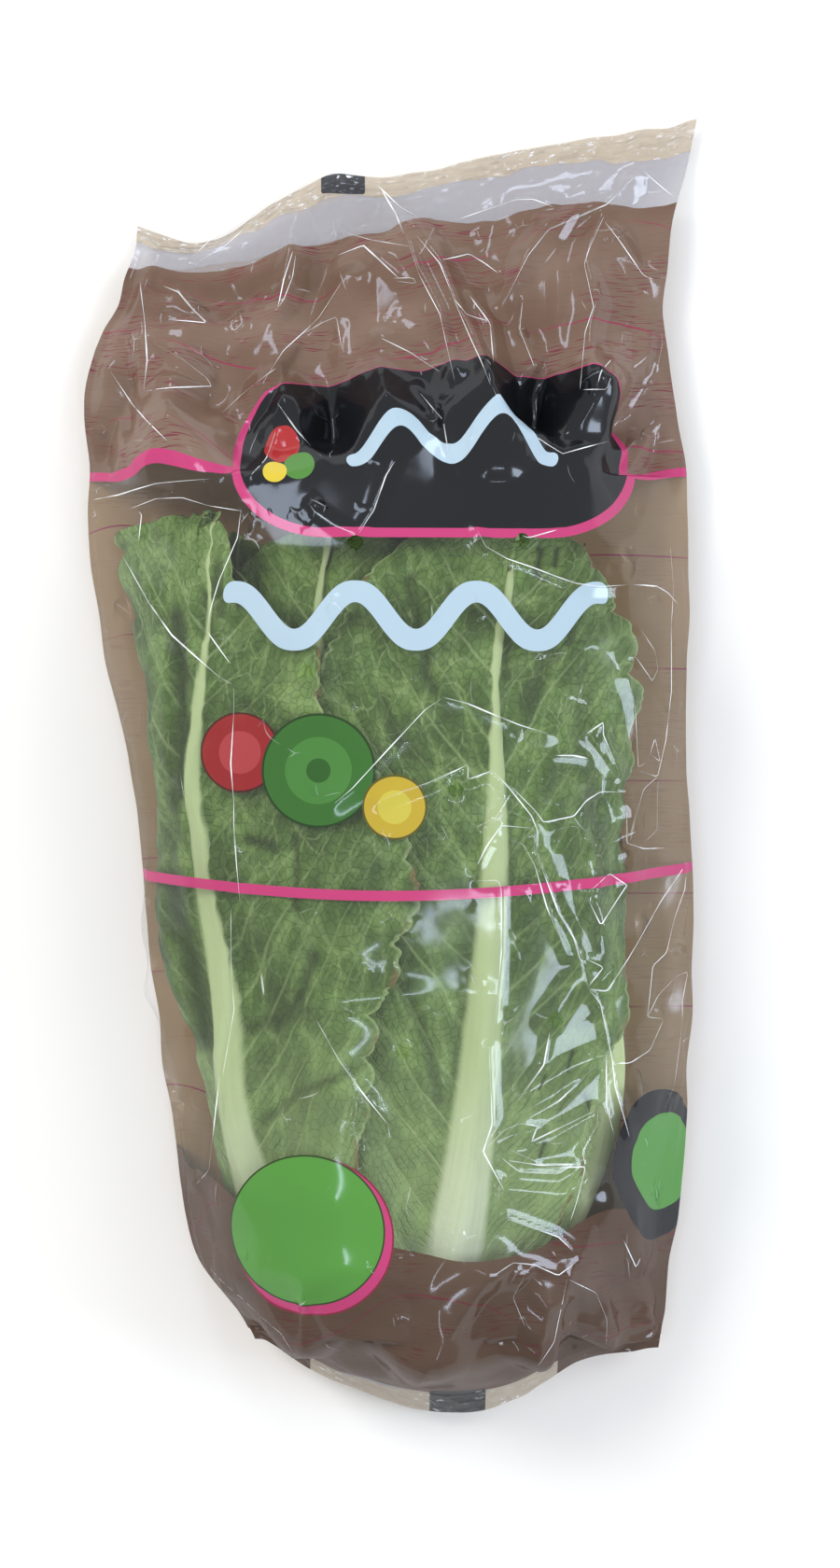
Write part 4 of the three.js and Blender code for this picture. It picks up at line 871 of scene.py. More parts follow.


# Sharp creases in the upper panel: how high and how wide (half) they pull it up, the width of the
# white line painted along each as its highlight, and their corners in plan.
CREASES = [
    (1.6, 5, 0.55, [(-91, 71), (-81, 54), (-73, 43), (-64, 35), (-57, 29), (-52, 26)]),
    (1.2, 4, 0.5, [(-52, 26), (-52, 17), (-53, 0), (-52, -12), (-52, -20), (-51, -34), (-50, -45)]),
    (1.2, 4, 0.5, [(-50, 84), (-51, 75), (-57, 61), (-60, 51), (-61, 44)]),
    (0.9, 3, 0.45, [(-61, 44), (-56, 37), (-53, 33)]),
    (1.2, 4, 0.4, [(-88, 86), (-79, 89), (-70, 89), (-61, 86), (-50, 84)]),
    (1.2, 4, 0.4, [(-102, 90), (-92, 91), (-79, 94), (-60, 95)]),
    (0.6, 3, 0.35, [(-85, 74), (-84, 84), (-85, 85)]),
    (1, 4, 0.4, [(-53, -47), (-53, -64), (-52, -81), (-56, -103)]),
    (1.2, 4, 0.45, [(-57, -103), (-59, -120), (-61, -135), (-66, -141)]),
    (0.9, 5, 0.6, [(-25, -83), (-17, -97), (-9, -108), (-1, -118)]),
    (0.4, 3, 0.7, [(-43, -68), (-42, -76)]),
    (0.9, 4, 0.45, [(-27, 86), (-26, 84), (-19, 79), (-12, 76)]),
    (0.9, 4, 0.45, [(-11, 76), (-8, 81), (-6, 84), (-4, 90), (-2, 96), (1, 101)]),
    (0.9, 6, 0.5, [(-19, -13), (-13, -8), (-2, 4), (11, 18), (17, 22)]),
    (0.8, 4, 0.5, [(-4, -12), (3, -9), (12, -6), (21, -2), (25, 0)]),
    (0.8, 3, 0.45, [(25, 0), (25, -5), (33, -2)]),
    (1, 4, 0.5, [(28, 78), (31, 72), (38, 68), (47, 65), (55, 62), (61, 60), (69, 59), (80, 60)]),
    (0.9, 4, 0.45, [(80, 60), (89, 60), (93, 58), (97, 54)]),
    (0.6, 3, 0.4, [(43, 76), (45, 75), (55, 78)]),
    (0.9, 5, 0.5, [(17, 22), (25, 20), (32, 17), (42, 13), (52, 10)]),
    (0.9, 3, 0.5, [(64, 10), (70, 14), (70, 10), (75, -2)]),
    (0.8, 3, 0.4, [(64, 9), (68, 4), (74, -4)]),
    (0.5, 3, 0.7, [(54, 3), (60, 3), (65, 2)]),
    (0.9, 4, 0.45, [(33, -2), (38, -7), (46, -17), (48, -22), (47, -26)]),
    (1.1, 4, 0.6, [(39, -7), (47, -15), (50, -19), (60, -17), (64, -12), (69, -9), (76, -9)]),
    (1.2, 4, 0.5, [(78, 29), (80, 24), (81, 18), (82, -1), (85, 1)]),
    (1, 3, 0.5, [(83, 45), (88, 38), (89, 32), (87, 28), (81, 36)]),
    (1.2, 4, 0.45, [(94, 74), (95, 60), (94, 47), (94, 25), (92, 8), (89, -4), (82, -2)]),
    (1.1, 4, 0.5, [(89, -4), (84, -8), (81, -18), (79, -26)]),
    (0.7, 2.5, 0.4, [(86, 3), (88, 9), (90, 1), (86, 4)]),
    (0.9, 4, 0.4, [(89, -5), (89, -22), (84, -26)]),
    (1, 4, 0.45, [(28, -33), (31, -27), (36, -20), (47, -21)]),
    (1.2, 4, 0.5, [(47, -21), (47, -28), (52, -41), (55, -49), (60, -57), (64, -71), (65, -74)]),
    (0.9, 3, 0.4, [(36, -24), (43, -26), (47, -33), (51, -47), (58, -63)]),
    (0.8, 3, 0.45, [(29, -38), (35, -38), (36, -41), (36, -61), (34, -86)]),
    (0.9, 3, 0.5, [(32, -93), (33, -118), (30, -127), (37, -140)]),
    (1.2, 4, 0.5, [(65, -74), (71, -75), (78, -65), (90, -46), (100, -33), (99, -42), (95, -52), (92, -63),
        (87, -67), (85, -84), (91, -85)]),
    (1, 4, 0.45, [(91, -85), (86, -95), (79, -99), (74, -99)]),
    (1.2, 4, 0.5, [(65, -74), (69, -79), (73, -98), (74, -107), (77, -117), (79, -124)]),
    (1, 3, 0.5, [(92, -84), (96, -71), (100, -70), (98, -80), (98, -86), (97, -94), (95, -108), (91, -116)]),
    (0.9, 3, 0.45, [(85, -84), (89, -77), (96, -71)]),
    (1.2, 4, 0.6, [(65, -42), (72, -36), (78, -40), (69, -53), (65, -45)]),
    (0.8, 3, 0.5, [(64, -64), (70, -67), (65, -73)]),
    (0.7, 3, 0.4, [(41, -111), (50, -99), (52, -88)]),
    (0.7, 3, 0.45, [(42, -118), (55, -111), (68, -99)]),
    (0.9, 3, 0.5, [(31, -126), (37, -120), (42, -118), (48, -119), (46, -124), (68, -114)]),
    (0.9, 3, 0.45, [(68, -114), (68, -119), (63, -128), (64, -133)]),
    (0.9, 3, 0.55, [(38, -130), (49, -132), (60, -132), (55, -135), (42, -134), (36, -129)]),
    (0.7, 3, 0.4, [(71, -95), (71, -113), (74, -124)]),
    (0.9, 3, 0.45, [(78, -15), (78, -26), (84, -28), (92, -28)]),
    (0.8, 3, 0.4, [(82, -13), (79, -24)]),
    (0.7, 3, 0.45, [(38, -126), (52, -133), (64, -133), (61, -145), (59, -151)]),
    (0.8, 3, 0.45, [(37, -149), (55, -156), (60, -161)]),
    (0.9, 3, 0.5, [(33, -168), (40, -164), (47, -165), (55, -169), (62, -164)]),
    (1, 4, 0.6, [(77, -158), (82, -169), (84, -164)]),
    (2, 6, 0.5, [(58, -170), (68, -176), (72, -186), (72, -195)]),
    (2.5, 8, 0.35, [(-70, -164), (-53, -177), (-37, -189), (-27, -206)]),
    (1.5, 5, 0.35, [(-10, -208), (0, -211), (9, -212)]),
    (2.5, 6, 0.4, [(44, -186), (40, -176), (44, -168)]),
    (2.5, 6, 0.4, [(48, -201), (54, -192), (58, -170)]),
    (2, 5, 0.5, [(-34, 175), (-37, 165), (-39, 155)]),
    (2.5, 5, 0.5, [(-33, 174), (-34, 166), (-37, 158), (-39, 155)]),
    (1.6, 5, 0.5, [(-19, 174), (-10, 177), (2, 165)]),
    (1.2, 3, 0.5, [(0, 165), (7, 165), (8, 163), (1, 164)]),
    (4, 9, 0.4, [(-16, 166), (-25, 152), (-37, 140), (-44, 128)]),
    (4, 8, 0.45, [(8, 180), (16, 170), (22, 154), (29, 137), (33, 126)]),
    (3, 6, 0.4, [(4, 182), (9, 166), (16, 152), (21, 128)]),
    (1.2, 4, 0.5, [(16, 171), (26, 174), (31, 171), (36, 167)]),
    (3.5, 6, 0.45, [(26, 159), (33, 149), (34, 134)]),
    (3.5, 7, 0.5, [(85, 203), (73, 191), (53, 182), (46, 173), (43, 167), (37, 155)]),
    (2, 5, 0.5, [(85, 203), (91, 198), (96, 194)]),
    (4, 6, 0.5, [(72, 187), (67, 176), (65, 170), (68, 155), (65, 146), (63, 126)]),
    (3, 6, 0.45, [(72, 185), (78, 177), (85, 167), (90, 164)]),
    (1.5, 5, 0.55, [(19, 185), (30, 189), (42, 193), (48, 193), (55, 190)]),
    (2.5, 4, 0.5, [(-5, 198), (-1, 194), (3, 190), (8, 187)]),
    (2.5, 5, 0.5, [(-4, 197), (1, 188), (4, 180)]),
    (3.5, 7, 0.5, [(-86, 165), (-84, 150), (-83, 137), (-84, 126)]),
    (2.5, 5, 0.45, [(-84, 126), (-72, 127), (-61, 128), (-63, 131), (-71, 137), (-81, 143)]),
    (1.2, 4, 0.55, [(-78, 163), (-73, 161), (-68, 155), (-63, 150), (-75, 151)]),
    (2.5, 6, 0.45, [(-96, 134), (-88, 122), (-82, 115), (-75, 108)]),
    (1.6, 5, 0.4, [(-4, 144), (6, 139), (16, 132)]),
    (2.2, 5, 0.45, [(-31, 146), (-24, 150), (-19, 152), (-17, 140)]),
    (1.5, 4, 0.5, [(64, 126), (72, 126), (74, 132), (79, 128)]),
    (1.2, 3, 0.5, [(74, 137), (70, 132), (69, 128)]),
    (2, 5, 0.45, [(21, 157), (25, 152), (32, 150)]),
    (1.2, 3, 0.5, [(-52, 154), (-55, 150), (-54, 147), (-51, 150), (-52, 154)]),
    (3, 6, 0.4, [(44, 157), (43, 147), (48, 134)]),
    (2, 5, 0.4, [(-53, 186), (-63, 179), (-69, 173)]),
    (1.5, 4, 0.45, [(-51, 183), (-58, 177), (-66, 172)]),
    (2, 6, 0.4, [(-16, 182), (-8, 179), (6, 176)]),
    (1, 4, 0.45, [(-39, 122), (-32, 112), (-23, 102)]),
    (1, 4, 0.45, [(9, 125), (17, 115), (19, 102)]),
    (1, 4, 0.4, [(44, 112), (57, 104), (73, 109)]),
    (1.2, 4, 0.45, [(-39, 112), (-42, 102), (-47, 96)]),
    (3, 7, 0.3, [(-58, 118), (-51, 125), (-39, 134)]),
]
# Straight-sided folds of the slack top, bottom and right flank: height, half width, and corners.
FOLDS = [
    (13, 19, [(13, 186), (27, 139), (34, 112)]), (-12, 13, [(25, 183), (38, 150), (44, 120)]),
    (11, 16, [(-6, 178), (-5, 142), (-2, 116)]), (-11, 14, [(-38, 190), (-50, 165), (-62, 125)]),
    (12, 18, [(-84, 165), (-72, 140), (-70, 108)]), (-9, 12, [(-22, 186), (-24, 150), (-20, 116)]),
    (12, 17, [(83, 204), (66, 168), (66, 125)]), (-11, 13, [(70, 196), (52, 165), (52, 122)]),
    (-9, 11, [(94, 196), (82, 160), (80, 118)]), (10, 14, [(-52, 176), (-40, 150), (-36, 122)]),
    (5, 12, [(-100, 140), (-92, 112), (-84, 100)]), (-6, 12, [(-88, 128), (-100, 108)]),
    (-5, 10, [(60, -186), (62, -202)]), (5, 14, [(30, -168), (4, -210)]), (3, 12, [(-50, -184), (-14, -206)]),
    (4, 11, [(78, -148), (86, -192)]), (-4, 9, [(-12, -192), (-30, -206)]), (6, 9, [(50, -178), (46, -196)]),
    (-3, 8, [(-50, -180), (-36, -196)]),
    (2.6, 7, [(60, -12), (66, -38), (69, -62)]), (-2, 5, [(69, -10), (73, -34)]),
    (2.4, 6, [(76, -6), (80, -24), (79, -44)]), (2.2, 5, [(58, -25), (70, -28), (78, -22)]),
    (2, 5, [(44, -108), (58, -100), (68, -96)]), (2, 5, [(36, -128), (52, -124), (66, -116)]),
    (1.8, 5, [(40, -140), (56, -142), (66, -136)]), (1.4, 6, [(52, -84), (60, -72)]),
]
CLEAR = 1.5  # between the two panels where they lie slack
LAP_PLACE, LAP_HALF = -4, 5.4  # middle and half width of the lap seam along the lower panel
LEAVES_FROM, LEAVES_TO = -191, 98  # between these places leaves lie close under the film


def pulled(x, y):
    """How far the creases and folds lift the film."""
    lift = np.zeros(np.shape(x))
    for high, half, _, line in CREASES:
        lift = np.maximum(lift, high * nearness(x, y, line, half) ** 1.25)
    for high, half, line in FOLDS:
        lift += high * nearness(x, y, line, half) ** 1.1 * np.where(y > 60, 0.2 + fall(114, 142, y), 1)
    return lift


def upper_rise(sheet, across, up, half):
    """How far the upper panel stands off the smooth bag: in flat facets where it is loose, and along folds."""
    x, y, z = sheet.transpose(2, 0, 1)
    empty = 1 - fall(86, 112, y) + fall(-182, -165, y)
    sides = 1 - fall(0.6, 0.85, np.abs(across) / half)
    flank = np.exp(-((x - 64) / 15) ** 2) * fall(-152, -120, y) * (1 - fall(-5, 20, y))
    loose = np.clip(empty + 0.45 * sides + 0.3 * flank, 0, 1)
    large, _ = facets(across, up, 44, 80, -12, 11)
    mid, _ = facets(across, up, 21, 34, 20, 21)
    small, _ = facets(across, up, 9, 13, -38, 31)
    rise = (8 + 3 * (1 - fall(116, 140, y))) * large * loose
    rise = rise + (1.9 * loose + 0.1) * mid + (0.22 * loose + 0.02) * small + pulled(x, y)
    rise = np.where((y > LEAVES_TO) | (y < LEAVES_FROM), rise, np.clip(rise, -0.6, 5))
    lower = panel_base(2, x.shape[1])[0]
    room = z - np.array([np.interp(a, b, c) for a, b, c in zip(x, lower[..., 0], lower[..., 2])])
    return np.maximum(rise, -np.maximum(0, 0.8 * (room - CLEAR)))


def lower_rise(across, up):
    """How far the lower panel stands off the smooth bag, with its lap seam, and where it is creased, where white
    lines are painted as highlights.
    """
    mid, mid_crease = facets(across, up, 26, 40, 12, 41)
    small, _ = facets(across, up, 11, 15, -30, 51)
    off_seam = np.abs(across - LAP_PLACE)
    rise = np.minimum(0.9 * mid + 0.3 * small, 0.2) - 0.35 + 0.5 * fall(5, 5.8, off_seam)
    crease = 0.4 * mid_crease * (noise(across, up, 23, 94) > 0.2) + fall(0.3, 0.9, np.abs(off_seam - LAP_HALF))
    return rise, crease


def make_panel(name, side, columns, facing):
    """One panel of the bag, and its points. side: its place in each ring. facing: 1 up, -1 down."""
    sheet, across, up, half = panel_base(side, columns)
    x, y = sheet[..., 0].copy(), sheet[..., 1].copy()
    edge_room = 1 - fall(1.5, 10, half - np.abs(across))
    end_room = 1 - fall(WELD, WELD + 10, BAG_END - np.abs(up))
    if facing > 0:
        rise, crease = upper_rise(sheet, across, up, half), np.zeros(x.shape)
    else:
        rise, crease = lower_rise(across, up)
    rise *= edge_room * end_room
    sheet = sheet + rise[..., None] * outward(sheet, facing)
    sheet[..., 2] = np.maximum(sheet[..., 2], 0.15)
    # the folds are not quite straight, and the welds are crumpled
    sheet[..., 0] += 0.9 * noise(up, 0 * up, 17, 61) * (1 - edge_room)
    crumple = fall(WELD, WELD + 6, BAG_END - np.abs(up))
    sheet[..., 1] += 0.9 * crumple * noise(across, up, 9, 62) * np.sign(up) - 0.5 * crumple * np.sign(up)
    sheet[..., 2] += crumple * (0.5 + 0.5 * noise(across, up, 5, 63))
    if facing > 0:
        for vx, vy in VENTS:
            off = np.hypot(sheet[..., 0] - vx, sheet[..., 1] - vy)
            near = np.abs(off - VENT_RADIUS) < 0.6
            for axis, centre in ((0, vx), (1, vy)):
                to_rim = centre + (sheet[..., axis] - centre) * VENT_RADIUS / np.maximum(off, 0.1)
                sheet[..., axis] = np.where(near, to_rim, sheet[..., axis])
            sheet[..., 2] += 0.3 * np.exp(-((off - VENT_RADIUS) / 0.8) ** 2)
    panel = new_grid(name, BAG_ROWS, columns)
    order = set_points(panel, sheet)
    set_uv(panel, order, across, up)
    set_values(panel, order, crease=crease * end_room, plan_x=x, plan_y=y)
    if facing > 0:
        centres = np.array([polygon.center for polygon in panel.data.polygons]) / MM
        off = np.min([np.hypot(centres[:, 0] - vx, centres[:, 1] - vy) for vx, vy in VENTS], axis=0)
        pick_faces(panel, np.flatnonzero(off < VENT_RADIUS - 0.2))
        bpy.ops.mesh.delete(type="FACE")
        bpy.ops.object.mode_set(mode="OBJECT")
    if sum(polygon.normal.z for polygon in panel.data.polygons) * facing < 0:
        panel.data.flip_normals()
    shade_smooth(panel)
    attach(panel, "root")
    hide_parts("film_bag")
    return panel, sheet


# Printing, as it lies in plan. Rounded shapes: centre, half sizes of their straight middle, radii of
# their corners, colour, and how well the ink covers. A later one is printed over the earlier ones.
PINK, PALE_BLUE, NIGHT = "#b8386f", "#a9bfce", "#121418"
SHAPES = [
    ((14.5, 103.5), (36, 4), (32, 24.5), PINK, 0.97),
    ((14.5, 105), (36, 3.5), (29.4, 23.3), NIGHT, 0.985),
    ((-37, 108), (0, 0), (6, 6), "#a32a2c", 0.96),
    ((-31, 100), (0, 0), (5.2, 5.2), "#4c8136", 0.97),
    ((-39, 98), (0, 0), (4, 4), "#cfb838", 0.97),
    ((-50, 4), (0, 0), (13.2, 13.2), "#4a1719", 0.9),
    ((-50, 4), (0, 0), (12.5, 12.5), "#8e2125", 0.92),
    ((-50, 4), (0, 0), (7, 7), "#a43c40", 0.92),
    ((-24, -2), (0, 0), (18.8, 18.8), "#1f3a18", 0.95),
    ((-24, -2), (0, 0), (18, 18), "#336527", 0.95),
    ((-24, -2), (0, 0), (11, 11), "#437936", 0.95),
    ((-24, -2), (0, 0), (4, 4), "#2a5720", 0.95),
    ((1, -14), (0, 0), (10.7, 10.7), "#55501d", 0.9),
    ((1, -14), (0, 0), (10, 10), "#b59c2f", 0.93),
    ((1, -14), (0, 0), (5.5, 5.5), "#c0b445", 0.93),
    ((-26, -155.5), (0, 0), (26.8, 26.8), "#7d2238", 0.97),
    ((-26, -155.5), (0, 0), (26.2, 26.2), PINK, 0.97),
    ((-28, -153.5), (0, 0), (25.9, 25.4), "#2c3f1b", 0.985),
    ((-28, -153.5), (0, 0), (25.3, 24.8), "#4f8d39", 0.985),
    ((88.5, -134.5), (0, 0), (15, 26), "#16181d", 0.97),
    ((90.5, -133.5), (0, 0), (10.6, 17), "#4f8d3f", 0.97),
    ((-17, 199.5), (6.5, 3), (1, 1), "#23272f", 0.88),
    ((22, -216), (8.5, 4), (1, 1), "#17171b", 0.95),
]
# Waves: centre, half length, height of the wave, its length, half thickness, colour and cover.
WAVES = [
    ((20, 106), 33, 4.5, 33, 2.2, PALE_BLUE, 0.97),
    ((8, 49), 60, 8, 40, 3.6, PALE_BLUE, 0.95),
    ((0, -34), 100, 9, 420, 1.7, PINK, 0.96),
]


# Noise on the film: its size across and along, where it starts, and its detail.
FILM_NOISE = {
    "tone": ((60, 40), (0, 0), 2), "strokes": ((9, 0.5), (0, 0), 1), "cluster": ((34, 11), (7, 14), 1),
    "grain": ((14, 1 / 2.6), (21, 42), 1), "wave": ((60, 400), (3, 6), 0), "parted": ((30, 30), (11, 22), 1),
    "bend": ((45, 400), (17, 34), 1), "ripple": ((25, 400), (5, 3), 2), "warp": ((20, 20), (31, 62), 1),
    "sparse": ((13, 15), (41, 82), 2), "glint": ((3.4, 1.7), (0, 0), 2), "sway": ((18, 26), (61, 2), 1),
}


def film_material(name, printed_parts, window, browns):
    """Printed polypropylene film: thin, clear and hard, mirror-bright, hazy where it is doubled, with a
    matt ink layer under it. window: lowest and highest place of its clear part. browns: its two browns."""
    made = new_material(name)
    place = node(made, "VectorMath", node(made, "UVMap").outputs["UV"], Scale=1000, operation="SCALE")
    v = node(made, "SeparateXYZ", place).outputs["Y"]
    plan_x, plan_y, crease = [
        node(made, "Attribute", attribute_name=label).outputs["Fac"] for label in ("plan_x", "plan_y", "crease")]
    tone, strokes, cluster, grain, wave, parted, bend, ripple, warp, sparse, glint, sway = [
        node(made, "TexNoise", node(made, "Mapping", place, Scale=(1 / wide, 1 / long, 0), Location=(*start, 0)),
             Scale=1, Detail=detail) for (wide, long), start, detail in FILM_NOISE.values()]
    # the printed brown: two shades, short dark and crimson strokes in clusters, a few long wavy lines
    strokes = node(made, "MapRange", strokes, 0.57, 0.63, 0, 0.85 if printed_parts else 0.2)
    strokes = node(made, "Math", strokes, node(made, "MapRange", cluster, 0.48, 0.56), operation="MULTIPLY")
    grain = node(made, "MapRange", grain, 0.6, 0.68, 0, 0.25 if printed_parts else 0.1)
    wave = node(made, "Math", node(made, "Math", wave, 46, v, operation="MULTIPLY_ADD"), 36, operation="PINGPONG")
    wave = node(made, "Math", wave, 18, 0.3, operation="COMPARE")
    wave = node(made, "Math", wave, node(made, "MapRange", parted, 0.38, 0.58), operation="MULTIPLY")
    brown = node(made, "Mix", node(made, "MapRange", tone, 0.35, 0.65), *browns, data_type="RGBA")
    for amount, tint in ((strokes, "#701f36"), (grain, "#4d3932"), (wave, "#8e2a4c")):
        brown = node(made, "Mix", amount, brown, tint, data_type="RGBA")
    # where the print stops: its upper edge and its lower one, which is bowed
    edge = node(made, "Math", bend, 16, node(made, "Math", v, 8, operation="SUBTRACT"), operation="MULTIPLY_ADD")
    above = node(made, "Math", edge, window[1], operation="GREATER_THAN")
    across = node(made, "Math", plan_x, 15, operation="SUBTRACT")
    below = node(made, "Math", node(made, "Math", across, across, operation="MULTIPLY"), -0.004, edge,
        operation="MULTIPLY_ADD")
    below = node(made, "Math", below, window[0], operation="LESS_THAN")
    if printed_parts:
        brown = node(made, "Mix", node(made, "Math", below, 0.66, operation="MULTIPLY"), brown, "#3a2614",
            data_type="RGBA")
    # the ends are left unprinted: a milky band where the film is doubled, then the beige weld
    rippled = node(made, "Math", ripple, 9, node(made, "Math", v, 4.5, operation="SUBTRACT"),
        operation="MULTIPLY_ADD")
    top_end = node(made, "Math", rippled, 194, operation="GREATER_THAN")
    low_end = node(made, "Math", node(made, "Math", v, -212, operation="LESS_THAN"),
        node(made, "Math", plan_x, 14, 42, operation="COMPARE"), operation="MULTIPLY")
    ends = node(made, "Math", top_end, low_end, operation="MAXIMUM")
    weld = node(made, "Math", ripple, 12, node(made, "Math", v, operation="ABSOLUTE"), operation="MULTIPLY_ADD")
    weld = node(made, "Math", weld, BAG_END - 3.5, operation="GREATER_THAN")
    weld = node(made, "Math", weld, ends, operation="MULTIPLY")
    printed = node(made, "Math", above, below, operation="MAXIMUM")
    printed = node(made, "Math", printed, ends, operation="SUBTRACT", use_clamp=True)
    colour = node(made, "Mix", ends, "#e4e4e2", "#b3b1b8", data_type="RGBA")
    colour = node(made, "Mix", weld, colour, "#c4b6a2", data_type="RGBA")
    colour = node(made, "Mix", printed, colour, brown, data_type="RGBA")
    cover = node(made, "Math", ends, 0.44, 0.012, operation="MULTIPLY_ADD")
    cover = node(made, "Math", weld, 0.14, cover, operation="MULTIPLY_ADD")
    cover = node(made, "Math", cover, node(made, "Math", printed, 0.95, operation="MULTIPLY"), operation="MAXIMUM")
    prints = []  # where it lies, its colour and how well it covers
    if printed_parts:
        prints.append((node(made, "Math", edge, window[1] - 1.6, 1.6, operation="COMPARE"), PINK, 0.96))
        plan = node(made, "CombineXYZ", plan_x, plan_y)
        for middle, straight, corner, tint, strength in SHAPES:
            off = node(made, "VectorMath", plan, (*middle, 0), operation="SUBTRACT")
            off = node(made, "VectorMath", node(made, "VectorMath", off, operation="ABSOLUTE"), (*straight, 0),
                operation="SUBTRACT")
            off = node(made, "VectorMath", node(made, "VectorMath", off, (0, 0, 0), operation="MAXIMUM"),
                (*corner, 1), operation="DIVIDE")
            off = node(made, "VectorMath", off, operation="LENGTH")
            prints.append((node(made, "Math", off, 1, operation="LESS_THAN"), tint, strength))
        for (x, y), half, high, length, thick, tint, strength in WAVES:
            off = node(made, "Math", plan_x, x, operation="SUBTRACT")
            turn = node(made, "Math", off, 2 * math.pi / length, operation="MULTIPLY")
            crest = node(made, "Math", node(made, "Math", turn, operation="COSINE"), -high, y,
                operation="MULTIPLY_ADD")
            steep = node(made, "Math", node(made, "Math", turn, operation="SINE"), 2 * math.pi / length * high,
                operation="MULTIPLY")
            steep = node(made, "Math", steep, steep, 1, operation="MULTIPLY_ADD")
            reach = node(made, "Math", node(made, "Math", steep, operation="SQRT"), thick, operation="MULTIPLY")
            beyond = node(made, "Math", node(made, "Math", off, operation="ABSOLUTE"), half, operation="SUBTRACT")
            beyond = node(made, "Math", node(made, "Math", beyond, 0, operation="MAXIMUM"), thick,
                operation="DIVIDE")
            ball = node(made, "Math", 1, node(made, "Math", beyond, beyond, operation="MULTIPLY"),
                operation="SUBTRACT", use_clamp=True)
            reach = node(made, "Math", reach, node(made, "Math", ball, operation="SQRT"), operation="MULTIPLY")
            inside = node(made, "Math", plan_y, crest, reach, operation="COMPARE")
            inside = node(made, "Math", inside, node(made, "Math", ball, 0, operation="GREATER_THAN"),
                operation="MULTIPLY")
            prints.append((inside, tint, strength))
    for inside, tint, strength in prints:
        colour = node(made, "Mix", inside, colour, tint, data_type="RGBA")
        cover = node(made, "Math", cover, node(made, "Math", inside, strength, operation="MULTIPLY"),
            operation="MAXIMUM")
    # small sharp creases, 17 mm apart, in patches, with white lines painted as highlights where they are sharpest
    bent = node(made, "VectorMath", node(made, "Mapping", place, Scale=(1 / 17, 1 / 23, 0)),
        node(made, "Math", warp, 0.8, operation="MULTIPLY"), operation="ADD")
    sparse = node(made, "MapRange", sparse, 0.6, 0.7)
    sharp = node(made, "TexVoronoi", bent, Scale=1, feature="DISTANCE_TO_EDGE", voronoi_dimensions="2D")
    sharp = node(made, "Math", node(made, "MapRange", sharp, 0.012, 0), sparse, operation="MULTIPLY")
    white = node(made, "Math", node(made, "MapRange", crease, 0.57, 1.02), sharp, operation="MAXIMUM")
    white = node(made, "Math", white, 0.5, operation="MULTIPLY")
    # painted glints: white flecks in clusters on the welds
    glint = node(made, "Math", node(made, "MapRange", glint, 0.6, 0.68, 0, 1.2),
        node(made, "MapRange", parted, 0.4, 0.6), operation="MULTIPLY")
    glint = node(made, "Math", glint, weld, operation="MULTIPLY", use_clamp=True)
    white = node(made, "Math", white, glint, operation="MAXIMUM")
    colour = node(made, "Mix", white, colour, "#e9eef4", data_type="RGBA")
    cover = node(made, "Math", cover, white, operation="MAXIMUM")
    facet = node(made, "TexVoronoi", bent, Scale=1, voronoi_dimensions="2D")
    height = node(made, "Math", node(made, "Math", facet, facet, operation="MULTIPLY"),
        node(made, "Math", sparse, 1.4, operation="MULTIPLY"), operation="MULTIPLY")
    # the welds: ribs of the sealing jaws 1.7 mm apart, and hard little crumples 3 mm across
    ribs = node(made, "Math", node(made, "Math", v, 3.6, operation="MULTIPLY"), operation="SINE")
    height = node(made, "Math", ribs, node(made, "Math", weld, 0.05, operation="MULTIPLY"), height,
        operation="MULTIPLY_ADD")
    crumple = node(made, "TexVoronoi", node(made, "Mapping", place, Scale=(1 / 5, 1 / 3, 0)), Scale=1,
        voronoi_dimensions="2D")
    crumple = node(made, "Math", crumple, crumple, operation="MULTIPLY")
    crumpled = node(made, "Math", ends, 0.12, operation="MULTIPLY")
    crumpled = node(made, "Math", weld, 1.0, crumpled, operation="MULTIPLY_ADD")
    height = node(made, "Math", crumple, crumpled, height, operation="MULTIPLY_ADD")
    loose = node(made, "MapRange", v, 70, 110)
    height = node(made, "Math", sway, node(made, "Math", loose, 0.3, 0.25, operation="MULTIPLY_ADD"), height,
        operation="MULTIPLY_ADD")
    bump = node(made, "Bump", Height=height, Strength=1.0, Distance=MM)
    ink = node(made, "BsdfPrincipled", colour, Roughness=0.5, Specular_IOR_Level=0.05, Normal=bump)
    body = node(made, "MixShader", cover, node(made, "BsdfTransparent", "#fafafa"), ink)
    facing = node(made, "LayerWeight", Blend=0.5, Normal=bump).outputs["Facing"]
    gloss = node(made, "Math", node(made, "Math", facing, 5, operation="POWER"), 0.12, 0.042,
        operation="MULTIPLY_ADD")
    shine = node(made, "BsdfGlossy", "#f8fbff", Roughness=0.11, Normal=bump)
    node(made, "OutputMaterial", node(made, "MixShader", gloss, body, shine))
    return made


front, front_sheet = make_panel("bag_front", 1, FRONT_COLUMNS, 1)
back, _ = make_panel("bag_back", 2, BACK_COLUMNS, -1)
front.data.materials.append(film_material("printed_polypropylene_film_front", True, (-162, 100),
    ("#674f40", "#7f695c")))
back.data.materials.append(film_material("printed_polypropylene_film_back", False, (400, 300),
    ("#997c57", "#a5896a")))

# ---- Creases ----
# Painted highlights along the sharp creases: thin white strips laid just above the film,
# narrower towards their ends.


CREASE_STEP = 1.3  # between the points along a crease
ABOVE_FILM = 0.22


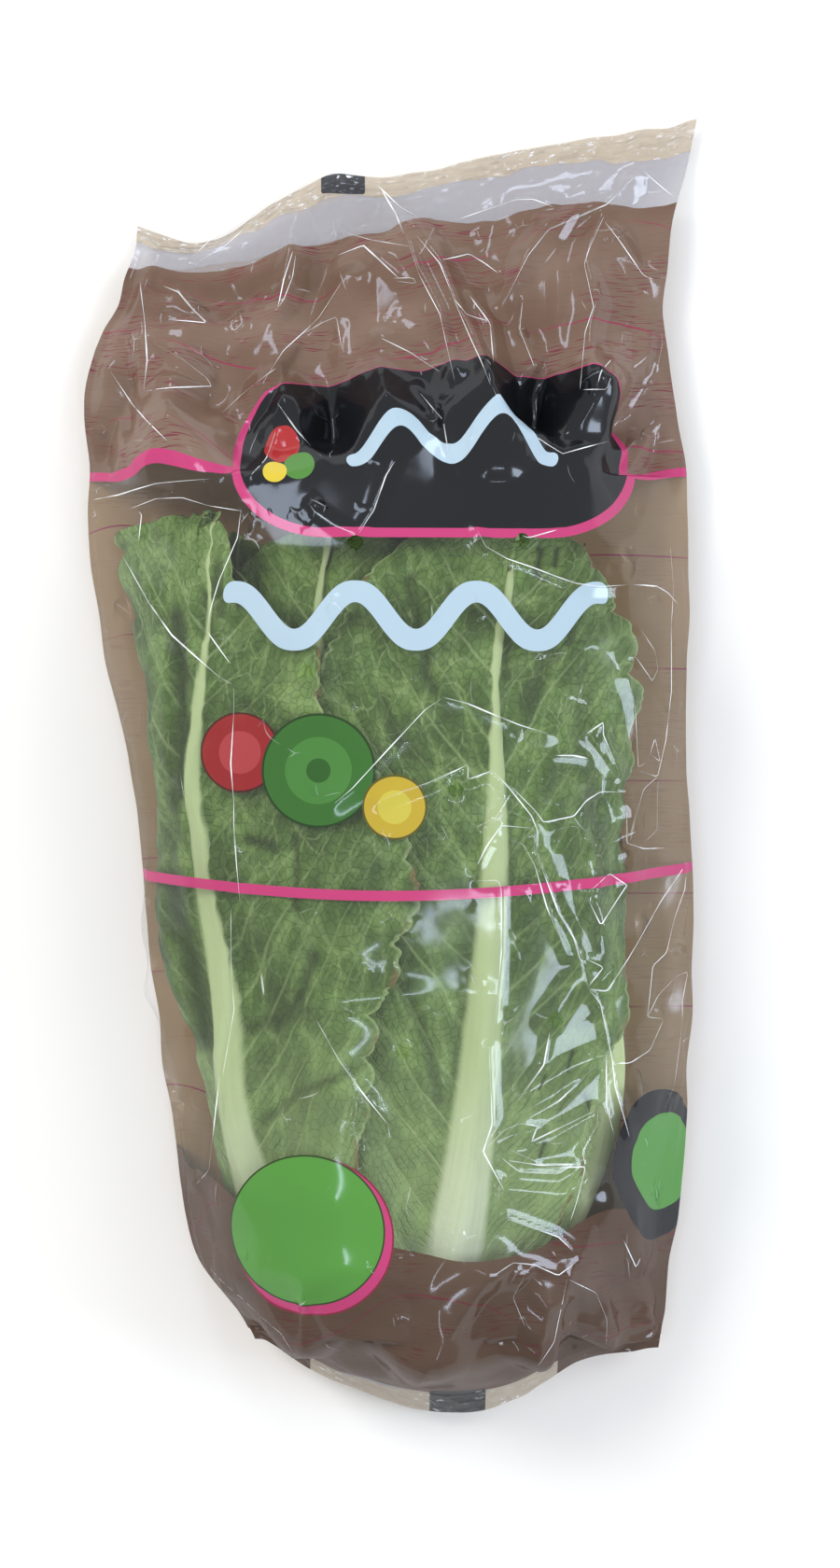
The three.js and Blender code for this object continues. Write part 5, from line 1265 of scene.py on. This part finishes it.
def crease_lines(name, sheet, normals):
    """Narrow strips of painted highlight along the creases, just above the panel, as one mesh."""
    rows, gaps = [], []  # gaps: where one crease ends and the next begins
    sheet_points, sheet_normals = sheet.reshape(-1, 3), normals.reshape(-1, 3)
    for number, (_, _, wide, line) in enumerate(CREASES):
        line = np.array(line, float)
        far = np.r_[0, np.cumsum(np.hypot(*np.diff(line, axis=0).T))]
        at = np.linspace(0, far[-1], max(6, int(far[-1] / CREASE_STEP)))
        path = np.stack([np.interp(at, far, line[:, 0]), np.interp(at, far, line[:, 1])], 1)
        for k, (px, py) in enumerate(path):
            off = np.hypot(sheet_points[:, 0] - px, sheet_points[:, 1] - py)
            near = np.argpartition(off, 4)[:4]
            weight = 1 / (off[near] + 0.1)
            z = (sheet_points[near, 2] * weight).sum() / weight.sum() + ABOVE_FILM
            ahead = path[min(k + 1, len(path) - 1)] - path[max(k - 1, 0)]
            side = np.cross(sheet_normals[near[0]], [*ahead, 0])
            side /= np.linalg.norm(side)
            t = k / (len(path) - 1)
            fade = 0.65 + 0.5 * noise(at[k], 0.0, 13, 200 + number)
            half = 0.5 * wide * fade * min(1, 4 * t, 4 * (1 - t)) ** 0.6
            rows.append([np.array([px, py, z]) - half * side, np.array([px, py, z]) + half * side])
        gaps.append(len(rows) - 1)
    lines = new_grid(name, len(rows), 2)
    set_points(lines, np.array(rows))
    pick_faces(lines, gaps[:-1])
    bpy.ops.mesh.delete(type="FACE")
    bpy.ops.object.mode_set(mode="OBJECT")
    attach(lines, "root")
    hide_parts("film_bag")
    return lines


# Painted crease highlight: white, uneven, still glossy.
lines = crease_lines("bag_painted_crease_highlights", front_sheet, outward(front_sheet, 1))
crease_highlight_paint = new_material("creased_film_painted_highlight")
patchy = node(crease_highlight_paint, "TexNoise", node(crease_highlight_paint, "TexCoord").outputs["Object"], Scale=90, Detail=1)
highlight_white = node(crease_highlight_paint, "BsdfPrincipled", "#f4f8fc", Roughness=0.3)
cover = node(crease_highlight_paint, "MapRange", patchy, 0.35, 0.6, 0.25, 0.95)
node(crease_highlight_paint, "OutputMaterial", node(crease_highlight_paint, "MixShader", cover, node(crease_highlight_paint, "BsdfTransparent"), highlight_white))
lines.data.materials.append(crease_highlight_paint)
